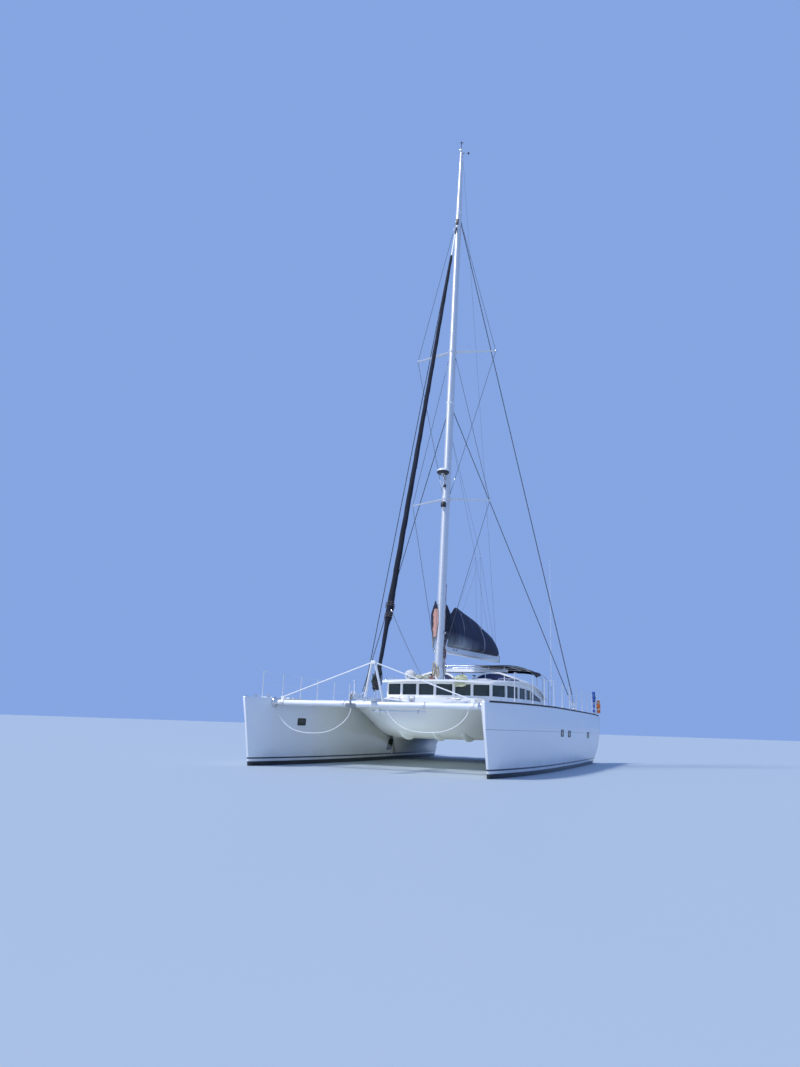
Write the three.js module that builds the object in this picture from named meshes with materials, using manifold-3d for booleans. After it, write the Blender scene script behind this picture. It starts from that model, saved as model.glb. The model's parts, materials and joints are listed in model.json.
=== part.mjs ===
// Cruising sailing catamaran, afloat with furled sails. Millimetres, +X to port, +Y aft, +Z up.
// The origin is on the waterline, on the centreline, midway between bow and stern.
import * as THREE from 'three';
import { mergeVertices } from 'three/addons/utils/BufferGeometryUtils.js';
import Module from 'manifold-3d';

const wasm = await Module();
wasm.setup();

// Driving dimensions
const GAP = 0.35; // between pieces that touch
const HULL_X = 3750; // centre plane of each hull
const DECK_Z = 2100;
const STERN_WALL_X = 4380; // inner face of the wing outboard of the stern steps
const FLOOR_Z = 1250; // saloon and cockpit sole
const TUNNEL_Z = 920; // underside of the bridge deck
const NACELLE_Y = -4950; // front lip of the bridge deck
const BRIDGE_AFT_Y = 7000;
const WALL = 50; // cabin wall
const SILL_Z = 2470;
const WINDOW_TOP_Z = 2870;
const BULKHEAD_Y = 3350;
const ROOF_THICK = 60;
const CABIN_AFT_Y = 4300;
const BEAM_Y = -7270; // front crossbeam
const BEAM_Z = 1925;
const BEAM_R = 85;
const APEX = [0, -7400, 3180]; // top of the striker frame
const MAST_FOOT = [0, -1290, 3120];
const MAST_TOP = [0, 520, 27170];
const MAST_CHORD = 460;
const MAST_WIDTH = 300;
const HOUNDS_Z = 23760;
const LOWER_SHROUD_Z = 14310;
const BOOM_PIN = [0, -900, 4220];
const BOOM_END = [0, 7290, 4550];
const HOOP_R = 18; // bimini tube
const HELM_X = 1750;
const WHEEL_Y = 3880;
const WHEEL_Z = 2600;
const WHEEL_R = 390;
const WHEEL_SHAFT_R = 20;
const BAY = { x0: 3420, x1: 4120, y0: 4750, y1: 6050, floor: 20 }; // engine bay in each hull
const RUDDER = { y: 6900, stockR: 38, top: -480, bottom: -1300, chord: 560, thick: 75 };
const LEG_Y = 5350; // saildrive leg
const PROP = { y: 5650, z: -950, r: 230, shaftR: 18 };
const DOOR = { half: 450, top: 3050 };
const ROPE_R = 12;

// Material palette: name, colour, roughness, metalness
const palette = {};
[
  ['gelcoat', 0xe9ebe6, 0.3, 0],
  ['antifouling', 0x1c1f22, 0.8, 0],
  ['tinted_glass', 0x27332f, 0.08, 0],
  ['navy_screen', 0x141a3a, 0.3, 0],
  ['aluminium', 0xd4d6d6, 0.4, 0.7],
  ['steel', 0xb9bcbe, 0.25, 1],
  ['wire', 0x7b8086, 0.4, 0.9],
  ['navy_canvas', 0x1a2236, 0.9, 0],
  ['net', 0x2c3033, 0.9, 0],
  ['rope', 0xd8d6c6, 0.9, 0],
  ['teak', 0x8a6a45, 0.7, 0],
  ['plastic_white', 0xf0f0ee, 0.4, 0],
  ['cast', 0x6a6f73, 0.5, 0.6],
  ['bronze', 0xa27b45, 0.4, 0.9],
].forEach(([name, color, roughness, metalness]) => {
  palette[name] = () => new THREE.MeshStandardMaterial({ color, roughness, metalness });
});

const group = new THREE.Group();

// Closed geometry as a solid for joining and cutting
function solid(geometry) {
  const g = geometry.index ? geometry.clone() : geometry;
  g.deleteAttribute('normal');
  g.deleteAttribute('uv');
  const merged = mergeVertices(g, 1e-3);
  const vertProperties = new Float32Array(merged.attributes.position.array);
  const triVerts = new Uint32Array(merged.index.array);
  return new wasm.Manifold(new wasm.Mesh({ numProp: 3, vertProperties, triVerts }));
}

function toGeometry(manifold) {
  const mesh = manifold.getMesh();
  const geometry = new THREE.BufferGeometry();
  geometry.setAttribute('position', new THREE.BufferAttribute(mesh.vertProperties, 3));
  geometry.setIndex(new THREE.BufferAttribute(mesh.triVerts, 1));
  return geometry;
}

const join = (solids) => solids.reduce((a, b) => a.add(b));
const cut = (base, tools) => tools.reduce((a, b) => a.subtract(b), base);

function add(name, manifold, material) {
  const mesh = new THREE.Mesh(toGeometry(manifold), palette[material]());
  mesh.name = name;
  group.add(mesh);
  return mesh;
}

// Box from its low and high corners
function box(low, high) {
  const size = low.map((v, i) => high[i] - v);
  const g = new THREE.BoxGeometry(...size);
  g.translate(...low.map((v, i) => v + size[i] / 2));
  return solid(g);
}

// Cylinder or cone between two points
function rod(a, b, r, sides = 8, rEnd = r) {
  const from = new THREE.Vector3(...a);
  const to = new THREE.Vector3(...b);
  const along = to.clone().sub(from);
  const g = new THREE.CylinderGeometry(rEnd, r, along.length(), sides);
  const turn = new THREE.Quaternion().setFromUnitVectors(new THREE.Vector3(0, 1, 0), along.clone().normalize());
  g.applyQuaternion(turn);
  g.translate(...from.add(to).multiplyScalar(0.5));
  return solid(g);
}

// Tube through points, mitred at each bend
function tube(points, r, sides = 6) {
  const at = points.map((p) => new THREE.Vector3(...p));
  const runs = at.slice(1).map((p, i) => p.clone().sub(at[i]).normalize());
  const across = new THREE.Vector3(0, 0, 1).cross(runs[0]);
  if (across.length() < 0.1) across.set(1, 0, 0);
  across.normalize();
  return loft(at.map((p, i) => {
    const before = runs[Math.max(i - 1, 0)];
    const after = runs[Math.min(i, runs.length - 1)];
    const mitre = before.clone().add(after).normalize();
    const up = before.clone().cross(across);
    const ring = arc(0, 0, r, 0, 360 - 360 / sides, sides - 1).map(([c, d]) => {
      const q = across.clone().multiplyScalar(c).addScaledVector(up, d);
      return q.addScaledVector(before, -q.dot(mitre) / before.dot(mitre)).add(p).toArray();
    });
    across.applyQuaternion(new THREE.Quaternion().setFromUnitVectors(before, after));
    return ring;
  }));
}

// Solid through closed loops of equal length, with flat ends; each face is split on its shorter diagonal
function loft(loops) {
  const n = loops[0].length;
  const points = loops.flat();
  const index = [];
  const apart = (i, j) => Math.hypot(...points[i].map((v, k) => v - points[j][k]));
  for (let s = 0; s < loops.length - 1; s += 1) {
    for (let i = 0; i < n; i += 1) {
      const a = s * n + i;
      const b = s * n + ((i + 1) % n);
      if (apart(a, b + n) <= apart(b, a + n)) index.push(a, b, b + n, a, b + n, a + n);
      else index.push(a, b, a + n, b, b + n, a + n);
    }
  }
  const middle = (loop) => loop.reduce((m, p) => m.map((v, k) => v + p[k] / n), [0, 0, 0]);
  points.push(middle(loops[0]), middle(loops[loops.length - 1]));
  const last = (loops.length - 1) * n;
  for (let i = 0; i < n; i += 1) {
    const j = (i + 1) % n;
    index.push(points.length - 2, j, i, points.length - 1, last + i, last + j);
  }
  const g = new THREE.BufferGeometry();
  g.setAttribute('position', new THREE.Float32BufferAttribute(points.flat(), 3));
  g.setIndex(index);
  const made = solid(g);
  return made.volume() > 0 ? made : solid(flipped(g));
}

function flipped(geometry) {
  const index = [...geometry.index.array];
  for (let i = 0; i < index.length; i += 3) [index[i], index[i + 1]] = [index[i + 1], index[i]];
  geometry.setIndex(index);
  return geometry;
}

// Outline extruded along one axis: 'x' takes (y, z) points, 'y' takes (x, z) and 'z' takes (x, y)
function extrude(points, axis, from, to) {
  const place = { x: (p, t) => [t, p[0], p[1]], y: (p, t) => [p[0], t, p[1]], z: (p, t) => [p[0], p[1], t] }[axis];
  const shape = new THREE.Shape(points.map((p) => new THREE.Vector2(...p)));
  const g = new THREE.ExtrudeGeometry(shape, { depth: to - from, bevelEnabled: false });
  const position = g.attributes.position;
  for (let i = 0; i < position.count; i += 1) {
    const t = from + position.getZ(i);
    position.setXYZ(i, ...place([position.getX(i), position.getY(i)], t));
  }
  const base = solid(g);
  if (base.volume() > 0) return base;
  const again = mergeVertices(g, 1e-3);
  return solid(flipped(again));
}

// Arc of points about a centre, angles in degrees
function arc(cx, cy, r, from, to, steps) {
  return Array.from({ length: steps + 1 }, (_, i) => {
    const a = THREE.MathUtils.degToRad(from + ((to - from) * i) / steps);
    return [cx + r * Math.cos(a), cy + r * Math.sin(a)];
  });
}

const mirrorX = (manifold) => manifold.mirror([1, 0, 0]);
const SIDES = [
  { name: 'port', turn: (m) => m },
  { name: 'starboard', turn: mirrorX },
];
const lerp = (a, b, t) => a + (b - a) * t;

// Shafts and their bores have this many sides, and a bore's flats clear the shaft's corners by RUNNING
const ROUND = 24;
const RUNNING = 0.3;
const boreRadius = (shaft) => (shaft + RUNNING) / Math.cos(Math.PI / ROUND);

// Hull stations: y at the waterline, y shift at deck height, half breadths out and in at the
// waterline and at the deck, bottom z, deck z
const STATIONS = [
  { y: -8000, lean: -530, wOut: 30, wIn: 30, dOut: 35, dIn: 35, keel: -250, deck: 2050 },
  { y: -7300, lean: -500, wOut: 180, wIn: 200, dOut: 300, dIn: 280, keel: -460, deck: 2055 },
  { y: -6200, lean: -420, wOut: 360, wIn: 400, dOut: 530, dIn: 500, keel: -580, deck: 2065 },
  { y: -4600, lean: -280, wOut: 540, wIn: 600, dOut: 710, dIn: 690, keel: -680, deck: 2080 },
  { y: -2400, lean: -120, wOut: 650, wIn: 740, dOut: 800, dIn: 830, keel: -730, deck: 2100 },
  { y: 400, lean: 0, wOut: 690, wIn: 790, dOut: 825, dIn: 850, keel: -740, deck: 2100 },
  { y: 3200, lean: 0, wOut: 680, wIn: 780, dOut: 825, dIn: 850, keel: -700, deck: 2100 },
  { y: 6300, lean: 0, wOut: 600, wIn: 680, dOut: 815, dIn: 840, keel: -480, deck: 2100 },
  { y: 7150, lean: 300, wOut: 560, wIn: 620, dOut: 800, dIn: 810, keel: -340, deck: 2080 },
  { y: 7800, lean: 850, wOut: 520, wIn: 560, dOut: 780, dIn: 780, keel: -120, deck: 2060 },
];

// Section of the port hull: deck, knuckle, waterline, bilge, keel and up the inner side
function hullSection(s, grow) {
  const out = (half, z) => [HULL_X + half + grow, s.y + s.lean * Math.max(z, -300) / s.deck, z];
  const inn = (half, z) => [HULL_X - half - grow, s.y + s.lean * Math.max(z, -300) / s.deck, z];
  const k = s.keel - grow;
  return [
    out(s.dOut, s.deck + grow),
    out(s.dOut - 12, 1300),
    out(lerp(s.wOut, s.dOut, 0.7), 650),
    out(s.wOut, 50),
    out(s.wOut * 0.93, k * 0.5),
    out(s.wOut * 0.55, k * 0.9),
    [HULL_X, s.y + s.lean * Math.max(k, -300) / s.deck, k],
    inn(s.wIn * 0.55, k * 0.9),
    inn(s.wIn * 0.93, k * 0.5),
    inn(s.wIn, 50),
    inn(lerp(s.wIn, s.dIn, 0.6), 1000),
    inn(s.dIn, s.deck + grow),
  ];
}

// Side profile that rounds the top of the stem and of the stern
const HULL_PROFILE = [
  [-9000, -1000],
  [9200, -1000],
  ...arc(8080, 1600, 500, 0, 90, 5),
  ...arc(-8400, 1970, 130, 90, 170, 3),
  [-9000, 1970],
];

// Stern steps: front edge y and tread z
const STERN_STEPS = [[6350, 1620], [6700, 1330], [7050, 1040], [7380, 750], [7700, 460]];

function hullBlank(grow = 0) {
  const body = loft(STATIONS.map((s) => hullSection(s, grow)));
  if (grow) return body;
  return body.intersect(extrude(HULL_PROFILE, 'x', 2500, 5000));
}

function portHull() {
  const steps = STERN_STEPS.map(([y, z]) => box([2700, y, z], [STERN_WALL_X, 9500, 3000]));
  const bay = box([BAY.x0, BAY.y0, BAY.floor], [BAY.x1, BAY.y1, 2500]);
  const stock = rod([HULL_X, RUDDER.y, -900], [HULL_X, RUDDER.y, 60], boreRadius(RUDDER.stockR), ROUND);
  return cut(hullBlank(), [...steps, bay, stock]);
}

const GROWN = [hullBlank(GAP), mirrorX(hullBlank(GAP))];
for (const side of SIDES) add(`hull_${side.name}`, side.turn(portHull()), 'gelcoat');

// Stub keel: chord shrinks downward from the hull bottom
function keel() {
  const rows = [[-500, -1500, 2100, 110], [-1330, -1150, 1900, 75], [-1380, -1100, 1850, 40]];
  const loops = rows.map(([z, front, aft, half]) => {
    const chord = aft - front;
    const outline = [[0, 0], [half * 0.7, 0.1], [half, 0.35], [half * 0.6, 0.75], [8, 1]];
    const right = outline.map(([x, t]) => [HULL_X + x, front + chord * t, z]);
    const left = outline.slice(1).reverse().map(([x, t]) => [HULL_X - x, front + chord * t, z]);
    return [...right, ...left];
  });
  return cut(loft(loops), [GROWN[0]]);
}
for (const side of SIDES) add(`keel_${side.name}`, side.turn(keel()), 'antifouling');

// Cabin plan, port half from the centreline: outer corners of the wall at its window mullions
const FRONT_CORNERS = [[0, -1660], [700, -1590], [1370, -1510], [2020, -1300]];
const SIDE_CORNERS = [[2020, -1300], [2380, -450], [2600, 620], [2700, 1380], [2760, 2000], [2820, CABIN_AFT_Y]];

// The same corners moved inward by a distance, square to the wall
function inset(path, distance) {
  return path.map((p, i) => {
    const before = path[Math.max(i - 1, 0)];
    const after = path[Math.min(i + 1, path.length - 1)];
    const normals = [[before, p], [p, after]].filter(([a, b]) => a !== b).map(([a, b]) => {
      const length = Math.hypot(b[0] - a[0], b[1] - a[1]);
      return [-(b[1] - a[1]) / length, (b[0] - a[0]) / length];
    });
    const sum = normals.reduce((m, n) => [m[0] + n[0] / normals.length, m[1] + n[1] / normals.length], [0, 0]);
    const scale = distance / (sum[0] ** 2 + sum[1] ** 2);
    return [p[0] + sum[0] * scale, p[1] + sum[1] * scale];
  });
}

const mirrored = (path) => path.slice().reverse().map(([x, y]) => [-x, y]);
const WHOLE_PATH = [...mirrored(SIDE_CORNERS).slice(0, -1), ...mirrored(FRONT_CORNERS).slice(0, -1),
  ...FRONT_CORNERS, ...SIDE_CORNERS.slice(1)];
const FRONT_START = SIDE_CORNERS.length - 1;
const FRONT_END = FRONT_START + 2 * (FRONT_CORNERS.length - 1);

// Wall between two path corners, from one inset to another
function wallStrip(first, last, near, far, low, high) {
  const pick = (d) => {
    const line = inset(WHOLE_PATH, d).slice(first, last + 1);
    const pull = (a, b) => {
      const length = Math.hypot(b[0] - a[0], b[1] - a[1]);
      return [a[0] + ((b[0] - a[0]) * GAP) / length, a[1] + ((b[1] - a[1]) * GAP) / length];
    };
    const n = line.length;
    return [pull(line[0], line[1]), ...line.slice(1, -1), pull(line[n - 1], line[n - 2])];
  };
  return extrude([...pick(near), ...pick(far).reverse()], 'z', low, high);
}

// Window cutter through the wall facet between corners a and b
function windowCutter(a, b, marginA, marginB, topA, topB) {
  const length = Math.hypot(b[0] - a[0], b[1] - a[1]);
  const outline = [[marginA, SILL_Z], [length - marginB, SILL_Z], [length - marginB, topB], [marginA, topA]];
  const cutter = extrude(outline, 'y', -300, 300);
  const degrees = THREE.MathUtils.radToDeg(Math.atan2(b[1] - a[1], b[0] - a[0]));
  return cutter.rotate([0, 0, degrees]).translate([a[0], a[1], 0]);
}

// Roof stations: y, and top z at the centreline, at 1 m, at 2 m and at 3 m out
const ROOF = [
  [-2300, 2975, 2965, 2900, 2840],
  [-1600, 3035, 3025, 2965, 2920],
  [-600, 3110, 3105, 3085, 3040],
  [600, 3160, 3155, 3145, 3110],
  [1800, 3200, 3195, 3185, 3080],
  [2800, 3220, 3215, 3190, 2955],
  [3500, 3225, 3220, 3170, 2810],
  [4450, 3225, 3200, 3060, 2560],
];

// Volume between the roof's top lowered by one distance and its top lowered by another
function roofBetween(upper, lower) {
  const half = loft(ROOF.map(([y, c, z1, z2, z3]) => {
    const top = [[-1, c], [1000, z1], [2000, z2], [3000, z3]];
    const over = top.map(([x, z]) => [x, y, upper === null ? 4500 : z - upper]);
    const under = top.map(([x, z]) => [x, y, z - lower]).reverse();
    return [...over, ...under];
  }));
  return half.add(mirrorX(half));
}

// Roof plan, port half, with wings over the aft side windows
const ROOF_PLAN = [[0, -1980], [750, -1920], [1450, -1820], [2160, -1560], [2530, -620], [2750, 550], [2850, 1300],
  [2900, 2000], [2940, 3000], [2940, 4420], [2560, 4420], [2500, 3480]];

function roof() {
  const outline = [...ROOF_PLAN, ...mirrored(ROOF_PLAN).slice(0, -1)];
  return roofBetween(0, ROOF_THICK).intersect(extrude(outline, 'z', 2000, 3600));
}
const ROOF_TRIM = roofBetween(null, ROOF_THICK + GAP);
const ROOF_SEAT = roofBetween(-GAP, 600);
add('cabin_roof', roof(), 'gelcoat');

const MULLION = 52; // half width of the white post between two windows
function frontWall() {
  const wall = wallStrip(FRONT_START, FRONT_END, 0, WALL, FLOOR_Z + GAP, 3400);
  const panes = [];
  for (let i = FRONT_START; i < FRONT_END; i += 1) {
    panes.push(windowCutter(WHOLE_PATH[i], WHOLE_PATH[i + 1], MULLION, MULLION, WINDOW_TOP_Z, WINDOW_TOP_Z));
  }
  return cut(wall, [...panes, ROOF_TRIM]);
}
add('cabin_front', frontWall(), 'gelcoat');

// Side windows: margins before and after, top z before and after
const SIDE_WINDOWS = [
  [90, 52, WINDOW_TOP_Z, 2890], [70, 60, 2900, 2900], [60, 40, 2890, 2870], [40, 40, 2860, 2840], [40, 620, 2830, 2560],
];
function sideWall() {
  const last = WHOLE_PATH.length - 1;
  const wall = wallStrip(FRONT_END, last, 0, WALL, FLOOR_Z + GAP, 3400);
  const panes = SIDE_WINDOWS.map(([m0, m1, t0, t1], i) =>
    windowCutter(WHOLE_PATH[FRONT_END + i], WHOLE_PATH[FRONT_END + i + 1], m0, m1, t0, t1));
  return cut(wall, [...panes, ROOF_TRIM]);
}
for (const side of SIDES) add(`cabin_side_${side.name}`, side.turn(sideWall()), 'gelcoat');

// Acrylic glazing bonded inside the walls
const GLASS = { near: WALL + GAP, far: WALL + 10, low: SILL_Z - 40 };
const frontGlass = wallStrip(FRONT_START, FRONT_END, GLASS.near, GLASS.far, GLASS.low, 3400);
add('front_glass', cut(frontGlass, [ROOF_TRIM]), 'tinted_glass');
function sideGlass() {
  const aft = box([2000, BULKHEAD_Y + 700, 1000], [3500, 5000, 4000]);
  const strip = wallStrip(FRONT_END, WHOLE_PATH.length - 1, GLASS.near, GLASS.far, GLASS.low, 3400);
  return cut(strip, [ROOF_TRIM, aft]);
}

// Aft bulkhead with its doorway, two windows and the door's track
function bulkhead() {
  const [[x0, y0], [x1, y1]] = SIDE_CORNERS.slice(-2);
  const wide = lerp(x0, x1, (BULKHEAD_Y - y0) / (y1 - y0)) - GLASS.far - 2 * GAP;
  const panel = box([-wide, BULKHEAD_Y, FLOOR_Z + GAP], [wide, BULKHEAD_Y + WALL, 3600]);
  const doorway = box([-DOOR.half, 3000, FLOOR_Z + 12], [DOOR.half, 3800, DOOR.top]);
  const windows = [-1, 1].map((s) => box([s * 1480 - 370, 3000, 2150], [s * 1480 + 370, 3800, 2900]));
  const track = box([-1480, BULKHEAD_Y, FLOOR_Z + GAP], [DOOR.half + 100, BULKHEAD_Y + 100, FLOOR_Z + 12]);
  return cut(panel, [doorway, ...windows, ROOF_TRIM]).add(track);
}
add('cabin_bulkhead', bulkhead(), 'gelcoat');

function saloonDoor() {
  const low = FLOOR_Z + 12 + GAP;
  const y = BULKHEAD_Y + WALL + 5;
  const half = DOOR.half + 40;
  const panel = box([-half, y, low], [half, y + 40, DOOR.top + 25]);
  const light = box([-half + 90, y + 12, low + 500], [half - 90, y + 60, DOOR.top - 70]);
  return panel.subtract(light);
}
add('saloon_door', saloonDoor(), 'tinted_glass');

// Space behind the nacelle's front, which is rounded in plan and rakes aft below the foredeck's lip
const LIP_Z = 1900;
const TUNNEL_X = 2920; // inner wall of each hull
const NACELLE_FRONT = [ // z, y on the centreline, y at the hulls, and the power of the curve between them
  [200, -2400, 2000, 2],
  [TUNNEL_Z, -2400, 1750, 2],
  [1000, -3300, 1240, 2],
  [1100, -3900, 900, 2],
  [1250, -4400, 350, 2],
  [1420, -4650, -200, 2],
  [1650, -4800, -1000, 2.2],
  [LIP_Z, -4850, -1840, 2.6],
  [LIP_Z + 1, NACELLE_Y, NACELLE_Y, 2],
  [3000, NACELLE_Y, NACELLE_Y, 2],
];
function nacelleSpace() {
  const half = 3400;
  return loft(NACELLE_FRONT.map(([z, middle, side, power]) => {
    const front = Array.from({ length: 17 }, (_, i) => {
      const x = (half * (i - 8)) / 8;
      return [x, middle + (side - middle) * (Math.abs(x) / TUNNEL_X) ** power, z];
    });
    return [[-half, BRIDGE_AFT_Y, z], ...front, [half, BRIDGE_AFT_Y, z]];
  }));
}

// Bridge deck: tunnel arch, nacelle, foredeck, side decks and cockpit well
const WHOLE_PATH_GROWN = inset(WHOLE_PATH, -GAP);
function bridgeDeck() {
  const haunch = arc(2250, 270, 650, 0, 90, 5);
  const right = [[3300, DECK_Z], [3300, 270], ...haunch];
  const left = mirrored(right);
  const slab = extrude([...right, ...left], 'y', NACELLE_Y, BRIDGE_AFT_Y);
  const top = [
    [NACELLE_Y, 2030, 2030, 2030],
    [-4700, 2070, 2065, 2060],
    [-1000, 2450, 2430, 2095],
    [-200, 2300, 2200, 2095],
    [300, 2095, 2095, 2095],
  ].map(([y, c, z1, z2]) => {
    const line = [[-3200, z2], [-2450, z2], [-1750, z1], [0, c], [1750, z1], [2450, z2], [3200, z2]];
    return [...line.map(([x, z]) => [x, y, z]), [3200, y, 1500], [-3200, y, 1500]];
  });
  const ends = [WHOLE_PATH_GROWN[0], WHOLE_PATH_GROWN[WHOLE_PATH_GROWN.length - 1]];
  const aft = ends.map(([x]) => [x, CABIN_AFT_Y + 4]);
  const envelope = extrude([aft[0], ...WHOLE_PATH_GROWN, aft[1]], 'z', FLOOR_Z, 5000);
  const well = box([-2600, CABIN_AFT_Y - 100, FLOOR_Z], [2600, 9000, 5000]);
  const lower = box([-3400, NACELLE_Y - 100, DECK_Z - 60], [3400, -4650, 3000]);
  const body = slab.subtract(lower).add(loft(top)).intersect(nacelleSpace());
  return cut(body, [envelope, well, ...GROWN]);
}
add('bridge_deck', bridgeDeck(), 'gelcoat');
for (const side of SIDES) add(`side_glass_${side.name}`, side.turn(sideGlass()), 'tinted_glass');

// Windscreen hoods on the roof in front of each helm: a low arch of tinted screen in a white rim
const SCREEN_RIM = [[220, 3050], [400, 3300], [550, 3440], [740, 3526], [1060, 3576], [1470, 3568], [1920, 3432],
  [2290, 3309], [2620, 3190], [2830, 3020]];
function windscreen() {
  const band = (near, far, y0, y1) => extrude([...inset(SCREEN_RIM, -near), ...inset(SCREEN_RIM, -far).reverse()], 'y', y0, y1);
  const pane = extrude(inset(SCREEN_RIM, -60), 'y', 2110, 2150);
  return cut(join([band(0, 70, 2050, 2210), pane]), [ROOF_SEAT]);
}
for (const side of SIDES) add(`windscreen_${side.name}`, side.turn(windscreen()), 'navy_screen');

// Saloon: a seat round two sides of a table, seen through the glass
function saloonFurniture() {
  const z = FLOOR_Z + GAP;
  const seat = join([
    box([1900, -300, z], [2350, 2300, z + 420]),
    box([700, 1850, z], [2000, 2300, z + 420]),
    box([700, 1850, z], [1950, 1900, z + 421]),
  ]);
  return seat.add(box([1950, 300, z + 400], [2050, 1700, z + 760])).add(box([900, 300, z + 720], [2000, 1500, z + 760]));
}
add('saloon_furniture', saloonFurniture(), 'teak');

// Helm stations: platform, console under the windscreen and seat
function helmStation() {
  const z = FLOOR_Z + GAP;
  const platform = box([1400, 3800, z], [2560, 4900, 1750]);
  const console = box([HELM_X - 250, BULKHEAD_Y + WALL + GAP, z], [HELM_X + 250, 3801, 2860]);
  const seat = join([
    box([HELM_X - 200, 4560, 1740], [HELM_X + 200, 4860, 2200]),
    box([HELM_X - 260, 4520, 2199], [HELM_X + 260, 4890, 2290]),
    box([HELM_X - 260, 4830, 2280], [HELM_X + 260, 4890, 2560]),
  ]);
  const bore = rod([HELM_X, 3700, WHEEL_Z], [HELM_X, 3900, WHEEL_Z], boreRadius(WHEEL_SHAFT_R), ROUND);
  return join([platform, console, seat]).subtract(bore);
}
for (const side of SIDES) add(`helm_station_${side.name}`, side.turn(helmStation()), 'gelcoat');

// Steering wheel with its shaft in the console
function steeringWheel() {
  const ring = solid(new THREE.TorusGeometry(WHEEL_R, 17, 5, 18).rotateX(Math.PI / 2));
  const spokes = Array.from({ length: 5 }, (_, i) => {
    const a = (i * 2 * Math.PI) / 5 + Math.PI / 2;
    return rod([0, 0, 0], [WHEEL_R * Math.cos(a), 0, WHEEL_R * Math.sin(a)], 9, 4);
  });
  const hub = rod([0, -WHEEL_Y + 3806, 0], [0, 25, 0], 45, 12);
  const shaft = rod([0, -WHEEL_Y + 3720, 0], [0, 0, 0], WHEEL_SHAFT_R, ROUND);
  return join([ring, ...spokes, hub, shaft]).translate([HELM_X, WHEEL_Y, WHEEL_Z]);
}
for (const side of SIDES) add(`wheel_${side.name}`, side.turn(steeringWheel()), 'steel');

// Cockpit bench across the stern and a table
function cockpitBench() {
  const z = FLOOR_Z + GAP;
  const base = box([-1900, 6350, z], [1900, 6980, 1700]);
  const back = box([-1900, 6800, 1690], [1900, 6980, 2150]);
  return join([base, back]);
}
add('cockpit_bench', cockpitBench(), 'gelcoat');
const tableFoot = rod([0, 5550, FLOOR_Z + GAP], [0, 5550, 1940], 60, 10);
add('cockpit_table', tableFoot.add(box([-650, 5150, 1930], [650, 5950, 1970])), 'teak');

// Front crossbeam with its rope eyes, and the fore and aft beam on it
const EYES = [450, 2950, -750, -3280];
function crossbeam(grow = 0) {
  const g = solid(new THREE.CylinderGeometry(BEAM_R + grow, BEAM_R + grow, 7200, 12).rotateZ(Math.PI / 2));
  return g.translate([0, BEAM_Y, BEAM_Z]);
}
function frontCrossbeam() {
  const eyes = EYES.map((x) => box([x - 15, BEAM_Y - 15, BEAM_Z - BEAM_R - 25], [x + 15, BEAM_Y + 15, BEAM_Z]));
  return cut(join([crossbeam(), ...eyes]), GROWN);
}
add('front_crossbeam', frontCrossbeam(), 'gelcoat');
const BEAM_TOP = BEAM_Z + BEAM_R;
const BOW_BEAM_TOP = BEAM_TOP + GAP + 100;
const BRIDGE_FRONT = box([-500, NACELLE_Y - GAP, 0], [500, 0, 5000]);
function bowBeam() {
  const low = BEAM_TOP + GAP;
  const beam = box([-80, -8700, low], [80, NACELLE_Y + 60, BOW_BEAM_TOP]);
  const cheeks = [-1, 1].map((s) => box([s * 60 - 8, -8900, low + 5], [s * 60 + 8, -8300, low + 150]));
  const roller = rod([-60, -8840, low + 60], [60, -8840, low + 60], 40, 10);
  return cut(join([beam, ...cheeks, roller]), [BRIDGE_FRONT]);
}
add('bow_beam', bowBeam(), 'aluminium');

// Anchor: shank on the roller, fluke hanging under the end of the beam
function anchor() {
  const low = BOW_BEAM_TOP + GAP;
  const shank = box([-14, -8930, low], [14, -8100, low + 50]);
  const down = box([-14, -8980, low - 210], [14, -8900, low + 50]);
  const fluke = loft([
    [[-180, -8890, low - 300], [180, -8890, low - 300], [150, -8940, low - 210], [-150, -8940, low - 210]],
    [[-20, -8600, low - 350], [20, -8600, low - 350], [15, -8620, low - 320], [-15, -8620, low - 320]],
  ]);
  const neck = box([-14, -8980, low - 280], [14, -8880, low - 180]);
  return join([shank, down, neck, fluke]);
}
add('anchor', anchor(), 'cast');

// Striker frame: two legs, a cap and a stay to a bracket near each end of the crossbeam
const STAY_END = { x: 3100, z: BEAM_TOP + 85 };
function strikerFrame() {
  const legs = [-1, 1].map((s) => rod([s * 330, BEAM_Y, BEAM_Z], [s * 45, APEX[1], APEX[2]], 40, 8));
  const stays = [-1, 1].map((s) => rod([s * STAY_END.x, BEAM_Y, STAY_END.z], APEX, 20, 6));
  const brackets = [-1, 1].map((s) => box([s * STAY_END.x - 60, BEAM_Y - 35, BEAM_Z],
    [s * STAY_END.x + 60, BEAM_Y + 35, STAY_END.z + 25]));
  const cap = box([-75, APEX[1] - 50, APEX[2] - 60], [75, APEX[1] + 50, APEX[2] + 40]);
  return cut(join([...legs, ...stays, ...brackets, cap]), [crossbeam(GAP), ...GROWN]);
}
add('striker_frame', strikerFrame(), 'aluminium');

// Trampoline nets between hulls, crossbeam and nacelle, one each side of the fore and aft beam
function trampoline() {
  const sheet = box([95, BEAM_Y, 1940], [3700, NACELLE_Y - GAP, 1954]);
  return cut(sheet, [crossbeam(GAP), ...GROWN]);
}
for (const side of SIDES) add(`trampoline_${side.name}`, side.turn(trampoline()), 'net');

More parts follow.
